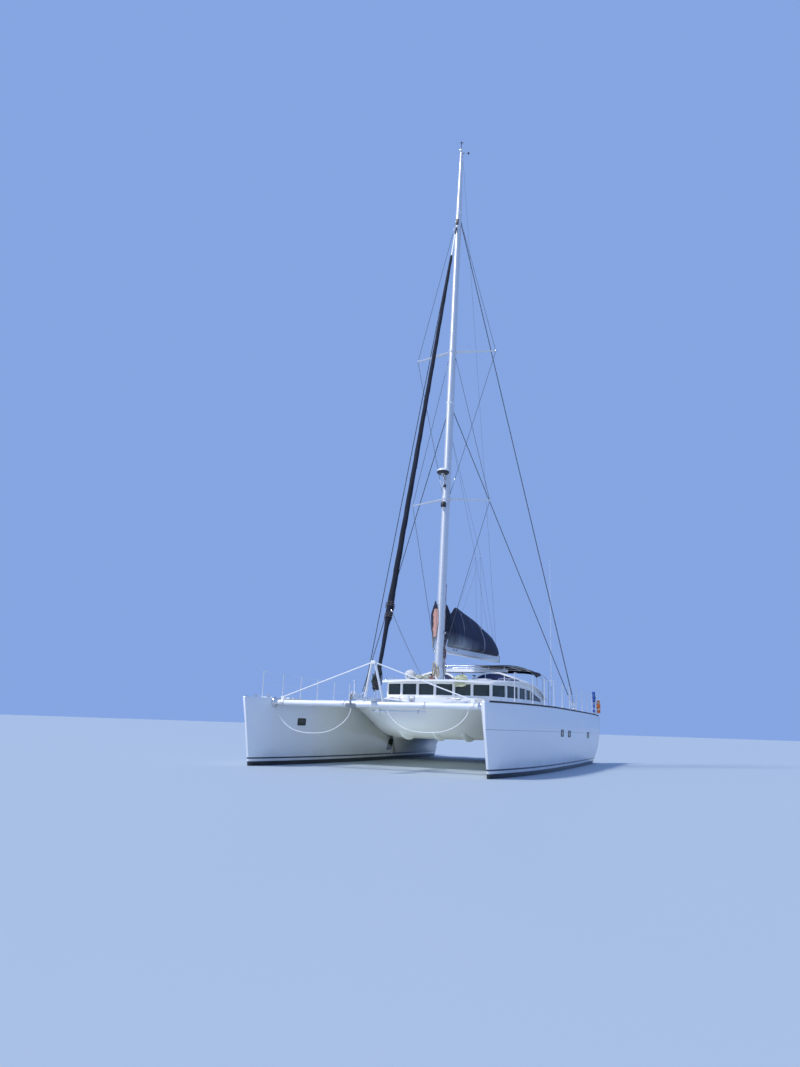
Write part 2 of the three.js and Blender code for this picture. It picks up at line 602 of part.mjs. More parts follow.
// Mast: oval section, straight to the hounds and tapered above, leaning aft
const MAST_LEAN = Math.atan2(MAST_TOP[1] - MAST_FOOT[1], MAST_TOP[2] - MAST_FOOT[2]);
const mastY = (z) => MAST_FOOT[1] + (z - MAST_FOOT[2]) * Math.tan(MAST_LEAN);
function mastTube(grow = 0) {
  const r = MAST_CHORD / 2 + grow;
  const length = (MAST_TOP[2] - MAST_FOOT[2]) / Math.cos(MAST_LEAN);
  const hounds = (HOUNDS_Z - MAST_FOOT[2]) / Math.cos(MAST_LEAN);
  const profile = [[0, -150], [r, -150], [r * 0.98, hounds * 0.55], [r * 0.8, hounds], [r * 0.46, length], [0, length]];
  const lathe = new THREE.LatheGeometry(profile.map((p) => new THREE.Vector2(...p)), 12);
  lathe.scale((MAST_WIDTH / 2 + grow) / r, 1, 1);
  return solid(lathe.rotateX(Math.PI / 2)).rotate([-THREE.MathUtils.radToDeg(MAST_LEAN), 0, 0]).translate(MAST_FOOT);
}
// A point in the mast's leaning frame, from a pin on its aft side
const leanAt = (manifold, at) => manifold.rotate([-THREE.MathUtils.radToDeg(MAST_LEAN), 0, 0]).translate(at);
const PIN = { r: 14, lug: 34, half: 60 };
function mast() {
  const lug = leanAt(join([
    rod([0, 0, -PIN.half], [0, 0, PIN.half], PIN.lug, 12),
    box([-25, -220, -PIN.half + 5], [25, 0, PIN.half - 5]),
  ]), BOOM_PIN);
  const bore = leanAt(rod([0, 0, -300], [0, 0, 300], PIN.r + 0.5, 12), BOOM_PIN);
  return cut(join([mastTube(), lug]), [bore, ROOF_SEAT]);
}
add('mast', mast(), 'aluminium');
const MAST_GROWN = mastTube(GAP);

// Spreaders: a collar round the mast and two arms; the wire runs past the tips
const SPREADERS = [
  { name: 'lower_spreaders', root: 10150, tip: 1620, tipY: -200, tipZ: 10140 },
  { name: 'upper_spreaders', root: 16750, tip: 1730, tipY: 220, tipZ: 16770 },
];
function spreaderPair(s) {
  const arms = [-1, 1].map((side) => loft([
    [[side * 60, mastY(s.root) - 90, s.root - 15], [side * 60, mastY(s.root) + 90, s.root - 15],
      [side * 60, mastY(s.root) + 90, s.root + 15], [side * 60, mastY(s.root) - 90, s.root + 15]],
    [[side * s.tip, s.tipY - 45, s.tipZ - 12], [side * s.tip, s.tipY + 45, s.tipZ - 12],
      [side * s.tip, s.tipY + 45, s.tipZ + 12], [side * s.tip, s.tipY - 45, s.tipZ + 12]],
  ]));
  const collar = mastTube(16).intersect(box([-400, -4000, s.root - 70], [400, 4000, s.root + 70]));
  return cut(join([...arms, collar]), [MAST_GROWN]);
}
for (const s of SPREADERS) add(s.name, spreaderPair(s), 'aluminium');

// Diamond stay of one side: hounds, upper tip, lower tip, mast foot
const WIRE = 9;
const COLLARS = SPREADERS.map((s) => mastTube(16 + GAP).intersect(box([-400, -4000, s.root - 71], [400, 4000, s.root + 71])));
function diamond() {
  const tips = SPREADERS.map((s) => [s.tip + WIRE + 4, s.tipY, s.tipZ]);
  const path = [[0, mastY(3950), 3950], tips[0], tips[1], [0, mastY(23300), 23300]];
  return cut(tube(path, WIRE, 5), [MAST_GROWN, ...COLLARS]);
}
for (const side of SIDES) add(`diamond_stay_${side.name}`, side.turn(diamond()), 'wire');

// Shrouds from the mast to chainplates on the deck
const SHROUDS = [
  { name: 'cap_shroud', top: HOUNDS_Z, foot: [4500, 1950], r: 14 },
  { name: 'lower_shroud', top: LOWER_SHROUD_Z, foot: [4500, 1600], r: 12 },
];
function shroud(s) {
  const foot = [...s.foot, DECK_Z + 30];
  const wire = rod(foot, [0, mastY(s.top), s.top], s.r, 6);
  const plate = box([foot[0] - 22, foot[1] - 45, DECK_Z - 20], [foot[0] + 22, foot[1] + 45, DECK_Z + 60]);
  return cut(join([wire, plate]), [MAST_GROWN, GROWN[0]]);
}
for (const s of SHROUDS) for (const side of SIDES) add(`${s.name}_${side.name}`, side.turn(shroud(s)), 'wire');

// Forestay with its furling drum and the furled genoa, in one turned shape: height and radius along it
const STAY_FOOT = [0, -7256, BOW_BEAM_TOP + GAP];
const STAY_ROWS = [[2400, 22], [2410, 110], [2630, 110], [2640, 40], [2760, 45], [3300, 62], [4350, 72], [4850, 130],
  [5250, 112], [5900, 98], [9000, 92], [15000, 82], [21100, 58], [21150, 30], [22400, 30], [22450, 40], [22850, 40],
  [22870, 14], [HOUNDS_Z, 14]];
function furledForestay() {
  const top = new THREE.Vector3(0, mastY(HOUNDS_Z), HOUNDS_Z);
  const foot = new THREE.Vector3(...STAY_FOOT);
  const length = top.distanceTo(foot);
  const along = (z) => (length * (z - foot.z)) / (top.z - foot.z);
  const profile = [[0, -60], [22, -60], ...STAY_ROWS.map(([z, r]) => [r, along(z)]), [0, length]];
  const g = new THREE.LatheGeometry(profile.map((p) => new THREE.Vector2(...p)), 10);
  const turn = new THREE.Quaternion().setFromUnitVectors(new THREE.Vector3(0, 1, 0), top.sub(foot).normalize());
  g.applyQuaternion(turn);
  g.translate(...STAY_FOOT);
  const seat = box([-200, -8000, 1000], [200, -6000, STAY_FOOT[2]]);
  return cut(solid(g), [MAST_GROWN, seat]);
}
add('furled_forestay', furledForestay(), 'navy_canvas');

// Radar dome on a bracket in front of the mast
function radar() {
  const z = 11150;
  const y = mastY(z) - 520;
  const profile = [[0, -90], [200, -90], [250, -40], [250, 40], [190, 110], [0, 130]];
  const dome = solid(new THREE.LatheGeometry(profile.map((p) => new THREE.Vector2(...p)), 14).rotateX(Math.PI / 2));
  const arm = box([-60, y, z - 130], [60, mastY(z), z - 85]);
  return cut(join([dome.translate([0, y, z]), arm]), [MAST_GROWN]);
}
add('radar_dome', radar(), 'plastic_white');

// Masthead: crane plate, aerial and wind vane, with their heights over the mast top
const MASTHEAD = { aerial: 490, vane: 230 };
function masthead() {
  const crane = box([-45, -160, GAP], [45, 220, 46]);
  const aerial = rod([0, -60, 40], [0, -60, MASTHEAD.aerial], 8, 6);
  const vane = join([
    rod([0, 150, 40], [0, 150, MASTHEAD.vane], 8, 6),
    rod([0, -60, MASTHEAD.vane], [0, 330, MASTHEAD.vane], 7, 6),
  ]);
  return leanAt(join([crane, aerial, vane]), MAST_TOP);
}
add('masthead_unit', masthead(), 'aluminium');

// Boom with its fork and pin, and the sail bag lying on it
function boomAt(t) {
  return BOOM_PIN.map((v, i) => lerp(v, BOOM_END[i], t));
}
const BOOM = { halfX: 110, halfZ: 150 };
function boomSection(t, halfX, halfZ) {
  const [, y, z] = boomAt(t);
  const c = 0.6;
  return [[halfX, -halfZ * c], [halfX, halfZ * c], [halfX * c, halfZ], [-halfX * c, halfZ], [-halfX, halfZ * c],
    [-halfX, -halfZ * c], [-halfX * c, -halfZ], [halfX * c, -halfZ]].map(([dx, dz]) => [dx, y, z + dz]);
}
function boom() {
  const beam = loft([boomSection(0.011, 90, 120), boomSection(0.03, BOOM.halfX, BOOM.halfZ),
    boomSection(1, BOOM.halfX, BOOM.halfZ)]);
  const fork = leanAt(join([
    box([-34, -34, PIN.half + GAP], [34, 160, PIN.half + 22]),
    box([-34, -34, -PIN.half - 22], [34, 160, -PIN.half - GAP]),
    rod([0, 0, -PIN.half - 10], [0, 0, PIN.half + 10], PIN.r, 12),
  ]), BOOM_PIN);
  return join([beam, fork]);
}
add('boom', boom(), 'aluminium');

// Sail bag stations: y, top z, half width
const BAG = [
  [-640, 5950, 150], [-350, 6050, 250], [150, 5900, 290], [720, 6050, 300], [1420, 6030, 300], [2700, 5920, 290],
  [3890, 5740, 280], [4940, 5590, 270], [5810, 5470, 250], [6600, 5310, 220], [7070, 5090, 180], [7190, 4900, 120],
];
function sailBag() {
  const loops = BAG.map(([y, top, half]) => {
    const t = (y - BOOM_PIN[1]) / (BOOM_END[1] - BOOM_PIN[1]);
    const low = boomAt(t)[2] + BOOM.halfZ + GAP;
    const mid = (z) => lerp(low, top, z);
    return [[half * 0.5, low], [half, mid(0.18)], [half * 0.85, mid(0.5)], [half * 0.4, mid(0.85)], [0, top],
      [-half * 0.4, mid(0.85)], [-half * 0.85, mid(0.5)], [-half, mid(0.18)], [-half * 0.5, low]].map(([x, z]) => [x, y, z]);
  });
  return loft(loops);
}
add('sail_bag', sailBag(), 'navy_canvas');

// Lifelines: stanchion places along the deck, joined by two wires
const STANCHIONS = [-6730, -5090, -3670, -2270, -800, 650, 2130, 3600, 5000, 6400, 7750];
const RAIL = { top: 2930, middle: 2540, inset: 75, r: 13, wire: 5 };
function deckHalf(y) {
  const row = STATIONS.map((s) => [s.y + s.lean, s.dOut]);
  const i = Math.max(row.findIndex(([ry]) => ry > y), 1);
  const [[y0, d0], [y1, d1]] = [row[i - 1], row[i]];
  return lerp(d0, d1, (y - y0) / (y1 - y0));
}
function lifelines() {
  const feet = STANCHIONS.map((y) => [HULL_X + Math.max(deckHalf(y) - RAIL.inset, 20), y]);
  const posts = feet.map(([x, y]) => rod([x, y, 1950], [x, y, RAIL.top + RAIL.r], RAIL.r, 5));
  const lines = [RAIL.top, RAIL.middle].map((z) => tube(feet.map(([x, y]) => [x, y, z]), RAIL.wire, 4));
  return cut(join([...posts, ...lines]), [GROWN[0]]);
}
for (const side of SIDES) add(`lifelines_${side.name}`, side.turn(lifelines()), 'steel');

// Bimini: tube hoops over the cockpit, with their starboard legs near the middle, and a canopy on the port half
const HOOP_HALF = [[0, 3870], [1700, 3860], [2250, 3780], [2620, 3630], [2850, 3400]];
const HOOPS = [2700, 3900, 5100];
const HOOP_SHORT = [[-1250, 3690], [-1200, 3790], [-1100, 3850], [-900, 3868]];
const HOOP_FOOT_Z = 2000;
const BRIDGE_SEAT = box([2600, 4500, 0], [3200, 6000, DECK_Z + GAP]);
function biminiFrame() {
  const arch = [HOOP_SHORT[2], HOOP_SHORT[3], ...HOOP_HALF, [2850, HOOP_FOOT_Z]];
  const whole = [[-1250, FLOOR_Z + GAP], HOOP_SHORT[0], HOOP_SHORT[1], ...arch];
  const hoops = HOOPS.map((y, i) => tube((i === 1 ? arch : whole).map(([x, z]) => [x, y, z]), HOOP_R, 6));
  const links = [HOOP_SHORT[2], HOOP_HALF[0], HOOP_HALF[1]].map(([x, z]) =>
    rod([x, HOOPS[0], z], [x, HOOPS[2], z], HOOP_R - 3, 6));
  const below = box([2400, 0, 0], [4000, 4400, 2500]);
  const inside = box([-2000, 2500, 0], [0, 3000, 3000]);
  return cut(join([...hoops, ...links]), [below, inside, ROOF_SEAT, BRIDGE_SEAT]);
}
add('bimini_frame', biminiFrame(), 'steel');
const CANOPY = { y0: 2450, y1: 5250, x0: 300, thick: 30, lift: 20 };
function canopy() {
  const line = [[CANOPY.x0, 3868], ...HOOP_HALF.slice(1, -1), [2880, 3395]];
  const raise = (d) => line.map(([x, z], i) => (i < 2 ? [x, z + d] : [x + d * 0.55, z + d * 0.85]));
  return extrude([...raise(CANOPY.lift), ...raise(CANOPY.lift + CANOPY.thick).reverse()], 'y', CANOPY.y0, CANOPY.y1);
}
add('bimini_canopy', canopy(), 'navy_canvas');

// Engines in their bays, deck hatches over them, saildrive legs, propellers and rudders
const engine = () => box([BAY.x0 + 80, 4900, BAY.floor + GAP], [BAY.x1 - 80, 5750, 650]);
function engineHatch() {
  const low = DECK_Z + GAP;
  return box([BAY.x0 - 40, BAY.y0 - 30, low], [BAY.x1 + 40, BAY.y1 + 30, low + 40]);
}
function saildriveLeg() {
  const leg = loft([-400, PROP.z + 40].map((z) => [[0, -190], [50, -60], [50, 80], [8, 190], [-8, 190], [-50, 80], [-50, -60]]
    .map(([x, y]) => [HULL_X + x, LEG_Y + y, z])));
  const pod = rod([HULL_X, LEG_Y - 190, PROP.z], [HULL_X, PROP.y - 60, PROP.z], 75, 12, 60);
  const bore = rod([HULL_X, LEG_Y + 60, PROP.z], [HULL_X, PROP.y, PROP.z], boreRadius(PROP.shaftR), ROUND);
  return cut(join([leg, pod]), [bore, GROWN[0]]);
}
function propeller() {
  const hub = rod([0, -54, 0], [0, 60, 0], 55, 12, 35);
  const shaft = rod([0, -200, 0], [0, 0, 0], PROP.shaftR, ROUND);
  const blade = loft([[40, 30], [140, 75], [PROP.r, 30]].map(([r, half], i) => {
    const pitch = [0.9, 0.6, 0.4][i];
    return [[-half, -5], [half, -5], [half, 5], [-half, 5]].map(([a, b]) => [a * Math.cos(pitch) - b * Math.sin(pitch),
      a * Math.sin(pitch) + b * Math.cos(pitch), r]);
  }));
  const blades = [0, 120, 240].map((degrees) => blade.rotate([0, degrees, 0]));
  return join([hub, shaft, ...blades]).translate([HULL_X, PROP.y, PROP.z]);
}
function rudder() {
  const loops = [[RUDDER.top, 1], [RUDDER.bottom, 0.72]].map(([z, s]) =>
    [[0, -0.3], [0.5, -0.15], [0.45, 0.2], [0.05, 0.7], [-0.05, 0.7], [-0.45, 0.2], [-0.5, -0.15]]
      .map(([x, y]) => [HULL_X + x * RUDDER.thick, RUDDER.y + y * RUDDER.chord * s, z]));
  const stock = rod([HULL_X, RUDDER.y, RUDDER.top - 200], [HULL_X, RUDDER.y, 50], RUDDER.stockR, ROUND);
  return loft(loops).add(stock);
}
for (const side of SIDES) {
  add(`engine_${side.name}`, side.turn(engine()), 'cast');
  add(`engine_hatch_${side.name}`, side.turn(engineHatch()), 'gelcoat');
  add(`saildrive_${side.name}`, side.turn(saildriveLeg()), 'cast');
  add(`propeller_${side.name}`, side.turn(propeller()), 'bronze');
  add(`rudder_${side.name}`, side.turn(rudder()), 'antifouling');
}

// Slack bridle ropes under the crossbeam, one to each side: x and z along the rope
const ROPE_TOP = BEAM_Z - BEAM_R - 26;
const BRIDLES = {
  port: [[450, ROPE_TOP], [455, 1750], [500, 1650], [600, 1530], [740, 1410], [920, 1300], [1140, 1215], [1400, 1170],
    [1700, 1155], [2000, 1170], [2260, 1215], [2480, 1300], [2660, 1410], [2800, 1530], [2900, 1650], [2945, 1750],
    [2950, ROPE_TOP]],
  starboard: [[-3280, ROPE_TOP], [-3275, 1730], [-3230, 1600], [-3140, 1450], [-3010, 1310], [-2840, 1190], [-2620, 1095],
    [-2350, 1040], [-2060, 1025], [-1770, 1040], [-1500, 1090], [-1270, 1180], [-1070, 1300], [-910, 1440], [-800, 1590],
    [-755, 1730], [-750, ROPE_TOP]],
};
for (const [name, line] of Object.entries(BRIDLES)) {
  const path = new THREE.CatmullRomCurve3(line.map(([x, z]) => new THREE.Vector3(x, BEAM_Y, z)), false, 'centripetal');
  const section = new THREE.Shape(arc(0, 0, ROPE_R, 0, 300, 5).map((p) => new THREE.Vector2(...p)));
  const steps = Math.round(path.getLength() / (ROPE_R * 8));
  const g = new THREE.ExtrudeGeometry(section, { steps, extrudePath: path, bevelEnabled: false });
  add(`bridle_rope_${name}`, solid(g), 'rope');
}

export default group;
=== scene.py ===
"""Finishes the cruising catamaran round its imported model. Metres, +X to port, +Y aft, +Z up."""

import json
from functools import lru_cache
from math import atan2, cos, exp, pi, radians, sin, tan
from random import Random

import bmesh
import bpy
from bpy.props import FloatProperty, FloatVectorProperty, IntProperty, PointerProperty
from mathutils import Matrix, Quaternion, Vector, noise
from mathutils.bvhtree import BVHTree


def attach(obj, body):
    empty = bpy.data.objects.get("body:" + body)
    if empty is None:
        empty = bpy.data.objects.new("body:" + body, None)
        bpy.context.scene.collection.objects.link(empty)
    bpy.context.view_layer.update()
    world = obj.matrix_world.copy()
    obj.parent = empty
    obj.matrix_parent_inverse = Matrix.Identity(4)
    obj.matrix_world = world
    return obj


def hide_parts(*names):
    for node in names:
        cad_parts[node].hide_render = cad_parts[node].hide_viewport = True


bl_info = {
    "name": "Sailing Catamaran",
    "version": (1, 0, 0),
    "blender": (4, 5, 0),
    "location": "3D View > Sidebar > Catamaran",
    "description": "Finishes a cruising catamaran round its packed model",
    "category": "Object",
}

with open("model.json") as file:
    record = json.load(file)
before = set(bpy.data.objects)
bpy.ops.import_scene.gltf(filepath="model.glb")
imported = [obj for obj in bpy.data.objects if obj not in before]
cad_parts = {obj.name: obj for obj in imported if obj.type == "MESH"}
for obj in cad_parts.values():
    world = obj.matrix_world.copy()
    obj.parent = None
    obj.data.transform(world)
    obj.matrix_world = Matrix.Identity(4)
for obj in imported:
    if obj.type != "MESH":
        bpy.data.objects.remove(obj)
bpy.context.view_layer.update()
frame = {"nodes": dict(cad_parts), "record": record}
BOAT = "boat"
SIDES = (("port", 1.0), ("starboard", -1.0))
UP = Vector((0, 0, 1))
ALONG_X = Matrix.Rotation(pi / 2, 4, "Y")
DECK_Z = 2.1
HULL_X = 3.75
BEAM_Y = -7.27
BEAM_Z = 1.925
BEAM_R = 0.085
NOISE_ROUGHNESS = 0.55
WEAVE = 0.0035
FLAT_DEGREES = 0.4
WELD = 1e-5
CORNER_STEPS = 5
PLUMB_FROM = 4.6


def colour(label, value, text):
    return FloatVectorProperty(name=label, description=text, subtype="COLOR", size=3, min=0.0, max=1.0,
                               default=value)


def length(label, value, text):
    return FloatProperty(name=label, description=text, unit="LENGTH", default=value)


class CatamaranPaint(bpy.types.PropertyGroup):
    """Colours of the boat's surfaces"""

    gelcoat: colour("Gelcoat", (0.83, 0.85, 0.87), "Hulls and cabin")
    deck: colour("Deck", (0.86, 0.87, 0.85), "Smooth deck mouldings")
    tread: colour("Tread", (0.71, 0.73, 0.73), "Non-slip deck panels")
    antifouling: colour("Antifouling", (0.015, 0.017, 0.02), "Paint under the waterline")
    stripe: colour("Stripe", (0.03, 0.04, 0.07), "Thin line over the boot top")
    canvas: colour("Canvas", (0.008, 0.013, 0.045), "Sail bag")
    shade: colour("Shade", (0.006, 0.008, 0.016), "Canopy")
    strip: colour("Leech strip", (0.012, 0.014, 0.022), "Sun strip of the furled sail")
    screen: colour("Screen", (0.012, 0.018, 0.10), "Panes in front of the helms")
    teak: colour("Teak", (0.30, 0.17, 0.08), "Table tops and treads")


class CatamaranSizes(bpy.types.PropertyGroup):
    """Heights and widths that a user would change"""

    bottom_paint: length("Bottom paint", 0.13, "Top of the dark paint over the waterline")
    boot_low: length("Line, lower edge", 0.205, "Lower edge of the thin line")
    boot_high: length("Line, upper edge", 0.25, "Upper edge of the thin line")
    # The crease is drawn only as a painted shadow line in the hull gelcoat
    crease: length("Crease", 1.3, "Height of the moulded line along the outer sides")
    net_mesh: length("Net mesh", 0.055, "Distance between the cords of the bow nets")
    wire: length("Line wire", 0.004, "Radius of the lifelines")


class CatamaranView(bpy.types.PropertyGroup):
    """Camera fitted to the picture, and the light"""

    place: FloatVectorProperty(name="Place", description="Camera position", unit="LENGTH",
                               default=(9.70, -29.89, 1.30))
    yaw: FloatProperty(name="Yaw", description="Turn to the left of straight aft, degrees", default=21.76)
    pitch: FloatProperty(name="Pitch", description="Tilt above the horizon, degrees", default=13.55)
    roll: FloatProperty(name="Roll", description="Turn about the line of sight, degrees", default=1.89)
    lens: FloatProperty(name="Lens", description="Focal length in millimetres", default=27.03)
    sun: FloatProperty(name="Sun", description="Strength of the main light", default=3.2)
    sky: FloatProperty(name="Sky", description="Strength of the soft light all round", default=0.76)
    glow: FloatProperty(name="Glow", description="Light that comes up between the hulls, in watts",
                        default=42.0)
    samples_seed: IntProperty(name="Seed", description="Start of the fixed random draws", default=7)


def paint():
    return bpy.context.scene.catamaran_paint


def sizes():
    return bpy.context.scene.catamaran_sizes


class Finish:
    """A procedural material, with short calls for its nodes"""

    def __init__(self, name, color, roughness, metallic=0.0, **sockets):
        self.material = bpy.data.materials.new(name)
        self.material.use_nodes = True
        self.tree = self.material.node_tree
        self.shader = self.tree.nodes["Principled BSDF"]
        given = {"Base Color": (*color, 1.0), "Roughness": roughness, "Metallic": metallic}
        given.update({key.replace("_", " "): value for key, value in sockets.items()})
        for key, value in given.items():
            self.feed(self.shader.inputs[key], value)
        self.place = self.node("ShaderNodeTexCoord").outputs["Object"]
        self.x, self.y, self.z = self.node("ShaderNodeSeparateXYZ", self.place).outputs

    def feed(self, socket, value):
        if isinstance(value, bpy.types.NodeSocket):
            self.tree.links.new(value, socket)
        else:
            socket.default_value = value

    def node(self, kind, *values, **settings):
        node = self.tree.nodes.new(kind)
        for key, value in settings.items():
            if key[0].isupper():
                self.feed(node.inputs[key.replace("_", " ")], value)
            else:
                setattr(node, key, value)
        for socket, value in zip(node.inputs, values):
            self.feed(socket, value)
        return node

    def math(self, operation, *values):
        return self.node("ShaderNodeMath", *values, operation=operation).outputs[0]

    def stretched(self, x, y, z):
        return self.node("ShaderNodeMapping", self.place, Scale=(x, y, z)).outputs[0]

    def noise(self, scale, detail=4.0, vector=None):
        node = self.node("ShaderNodeTexNoise", Scale=scale, Detail=detail, Roughness=NOISE_ROUGHNESS)
        self.feed(node.inputs["Vector"], vector or self.place)
        return node.outputs["Fac"]

    def span(self, value, low, high, start=0.0, end=1.0):
        return self.node("ShaderNodeMapRange", value, low, high, start, end).outputs[0]

    def band(self, value, low, high, soft):
        rise = self.span(value, low - soft, low + soft)
        fall = self.span(value, high - soft, high + soft, 1.0, 0.0)
        return self.math("MULTIPLY", rise, fall)

    def mix(self, factor, first, second):
        node = self.node("ShaderNodeMix", data_type="RGBA")
        for socket, value in zip((node.inputs[0], node.inputs[6], node.inputs[7]), (factor, first, second)):
            self.feed(socket, value)
        return node.outputs[2]

    def tint(self, factor, color):
        """Mixes a colour over what the base colour is so far"""
        socket = self.shader.inputs["Base Color"]
        before = socket.links[0].from_socket if socket.is_linked else tuple(socket.default_value)
        self.feed(socket, self.mix(factor, before, (*color, 1.0)))

    def rough(self, value, low, high):
        self.feed(self.shader.inputs["Roughness"], self.span(value, 0.0, 1.0, low, high))

    def bump(self, height, depth, strength=0.6):
        socket = self.shader.inputs["Normal"]
        node = self.node("ShaderNodeBump", Strength=strength, Distance=depth, Height=height)
        if socket.is_linked:
            self.feed(node.inputs["Normal"], socket.links[0].from_socket)
        self.feed(socket, node.outputs[0])

    def wave(self, value, pitch):
        """0 to 1 and back once in each pitch"""
        turn = self.math("MULTIPLY", value, 2 * pi / pitch)
        return self.math("MULTIPLY_ADD", self.math("SINE", turn), 0.5, 0.5)


def gelcoat_base(name, base):
    """Glossy gelcoat with faint clouds, and the mask of its weather streaks"""
    coat = Finish(name, base, 0.25, Coat_Weight=0.25, Coat_Roughness=0.12)
    cloud = coat.noise(0.35, 3.0)
    streak = coat.noise(1.0, 3.0, coat.stretched(1.4, 1.4, 0.12))
    coat.tint(coat.span(cloud, 0.35, 0.75, 0.0, 0.12), (0.74, 0.77, 0.79))
    coat.tint(coat.span(streak, 0.45, 0.9, 0.0, 0.05), (0.66, 0.65, 0.58))
    coat.rough(coat.noise(1.2, 2.0), 0.27, 0.31)
    coat.bump(coat.noise(40.0, 2.0), 0.0002, 0.1)
    return coat, streak


def make_deck_gelcoat():
    coat, _ = gelcoat_base("gelcoat_deck", paint().deck)
    return coat.material


def make_hull_gelcoat():
    """Gelcoat with a painted shadow line at the crease, the scum line, the thin line and the bottom paint"""
    coat, streak = gelcoat_base("gelcoat_hull", paint().gelcoat)
    size = sizes()
    soft = 0.002
    half_crease = 0.007
    outboard = coat.span(coat.math("ABSOLUTE", coat.x), HULL_X, HULL_X + 0.02)
    band = coat.band(coat.z, size.crease - half_crease, size.crease + half_crease, soft)
    crease = coat.math("MULTIPLY", band, outboard)
    # Thin dark band along the outer sides at the crease height: painted shadow of the moulded crease
    coat.tint(coat.math("MULTIPLY", crease, 0.75), (0.16, 0.18, 0.22))
    low = coat.span(coat.z, 0.13, 0.55, 1.0, 0.0)
    scum = coat.math("MULTIPLY", low, coat.span(streak, 0.35, 0.7, 0.0, 0.45))
    coat.tint(scum, (0.50, 0.50, 0.38))
    coat.tint(coat.band(coat.z, size.boot_low, size.boot_high, soft), tuple(paint().stripe))
    under = coat.span(coat.z, size.bottom_paint - soft, size.bottom_paint + soft, 1.0, 0.0)
    coat.tint(under, tuple(paint().antifouling))
    return coat.material


def make_tread():
    pad = Finish("deck_tread", paint().tread, 0.72)
    grain = pad.node("ShaderNodeTexVoronoi", Vector=pad.place, Scale=120.0).outputs["Distance"]
    pad.tint(pad.span(pad.noise(0.9, 4.0), 0.4, 0.8, 0.0, 0.3), (0.64, 0.66, 0.65))
    pad.tint(pad.span(pad.noise(14.0, 3.0), 0.5, 0.9, 0.0, 0.25), (0.66, 0.67, 0.65))
    pad.bump(grain, 0.002, 0.7)
    return pad.material


def make_bottom():
    coat = Finish("bottom_paint", paint().antifouling, 0.85)
    coat.tint(coat.span(coat.noise(3.0, 6.0), 0.5, 0.8, 0.0, 0.4), (0.05, 0.07, 0.06))
    coat.bump(coat.noise(60.0, 4.0), 0.001, 0.5)
    return coat.material


def make_glass():
    pane = Finish("tinted_acrylic", (0.03, 0.045, 0.045), 0.06, Specular_IOR_Level=0.4, Alpha=0.86)
    pane.rough(pane.noise(7.0, 5.0), 0.03, 0.14)
    pane.tint(pane.span(pane.noise(0.9, 2.0), 0.3, 0.8, 0.0, 0.45), (0.08, 0.11, 0.10))
    pane.material.surface_render_method = "BLENDED"
    return pane.material


def make_screen():
    pane = Finish("navy_screen", paint().screen, 0.12, Coat_Weight=0.6, Coat_Roughness=0.05)
    pane.tint(pane.span(pane.noise(2.0, 3.0), 0.4, 0.8, 0.0, 0.5), (0.012, 0.018, 0.07))
    pane.rough(pane.noise(9.0, 4.0), 0.06, 0.22)
    return pane.material


def make_metal(name, color, rough_low, rough_high, along=(1.0, 1.0, 1.0), metallic=1.0, mottle=0.2):
    metal = Finish(name, color, rough_low, metallic)
    grain = metal.noise(30.0, 5.0, metal.stretched(*along))
    metal.rough(grain, rough_low, rough_high)
    dark = tuple(c * 0.62 for c in color)
    metal.tint(metal.span(metal.noise(2.5, 5.0), 0.45, 0.85, 0.0, mottle), dark)
    metal.bump(grain, 0.0006, 0.25)
    return metal.material


def make_white_paint():
    coat = Finish("white_paint", (0.84, 0.85, 0.85), 0.32, Coat_Weight=0.3)
    coat.tint(coat.span(coat.noise(2.0, 5.0), 0.5, 0.85, 0.0, 0.4), (0.62, 0.62, 0.58))
    coat.rough(coat.noise(12.0, 4.0), 0.25, 0.5)
    coat.bump(coat.noise(50.0, 3.0), 0.0008, 0.2)
    return coat.material


def weave_bumps(cloth, crease_scale, crease_depth):
    """Soft creases and the threads of a cloth"""
    across = cloth.math("ADD", cloth.x, cloth.y)
    threads = cloth.math("ADD", cloth.wave(across, WEAVE), cloth.wave(cloth.z, WEAVE))
    cloth.bump(cloth.noise(crease_scale, 4.0), crease_depth, 0.35)
    cloth.bump(threads, 0.0006, 0.35)


def make_cloth(name, color, faded, sheen=0.25, roughness=0.9):
    cloth = Finish(name, color, roughness, Sheen_Weight=sheen, Sheen_Roughness=0.5, Specular_IOR_Level=0.15)
    cloth.tint(cloth.span(cloth.noise(0.8, 4.0), 0.35, 0.8, 0.0, 0.7), faded)
    cloth.tint(cloth.span(cloth.noise(9.0, 5.0), 0.5, 0.9, 0.0, 0.35), tuple(c * 0.5 for c in color))
    weave_bumps(cloth, 3.0, 0.03)
    return cloth.material


def make_bag_cloth():
    """Navy canvas, worn pale low down near the mast, with painted shade of the folds at its luff"""
    cloth = Finish("sail_bag_canvas", paint().canvas, 0.8, Sheen_Weight=0.0)
    cloth.tint(cloth.span(cloth.noise(0.7, 4.0), 0.4, 0.8, 0.0, 0.7), (0.014, 0.026, 0.085))
    low = cloth.span(cloth.z, 4.38, 4.95, 1.0, 0.0)
    near_mast = cloth.math("MULTIPLY", low, cloth.span(cloth.y, 1.6, 4.6, 1.0, 0.0))
    patches = cloth.span(cloth.noise(1.6, 5.0, cloth.stretched(1.0, 1.0, 0.5)), 0.25, 0.6)
    cloth.tint(cloth.math("MULTIPLY", near_mast, patches), (0.42, 0.45, 0.47))
    # Darker towards the luff: painted shade of the folds there
    luff = cloth.span(cloth.y, -0.1, 0.5, 1.0, 0.0)
    cloth.tint(cloth.math("MULTIPLY", luff, 0.5), (0.012, 0.014, 0.022))
    weave_bumps(cloth, 2.5, 0.02)
    return cloth.material


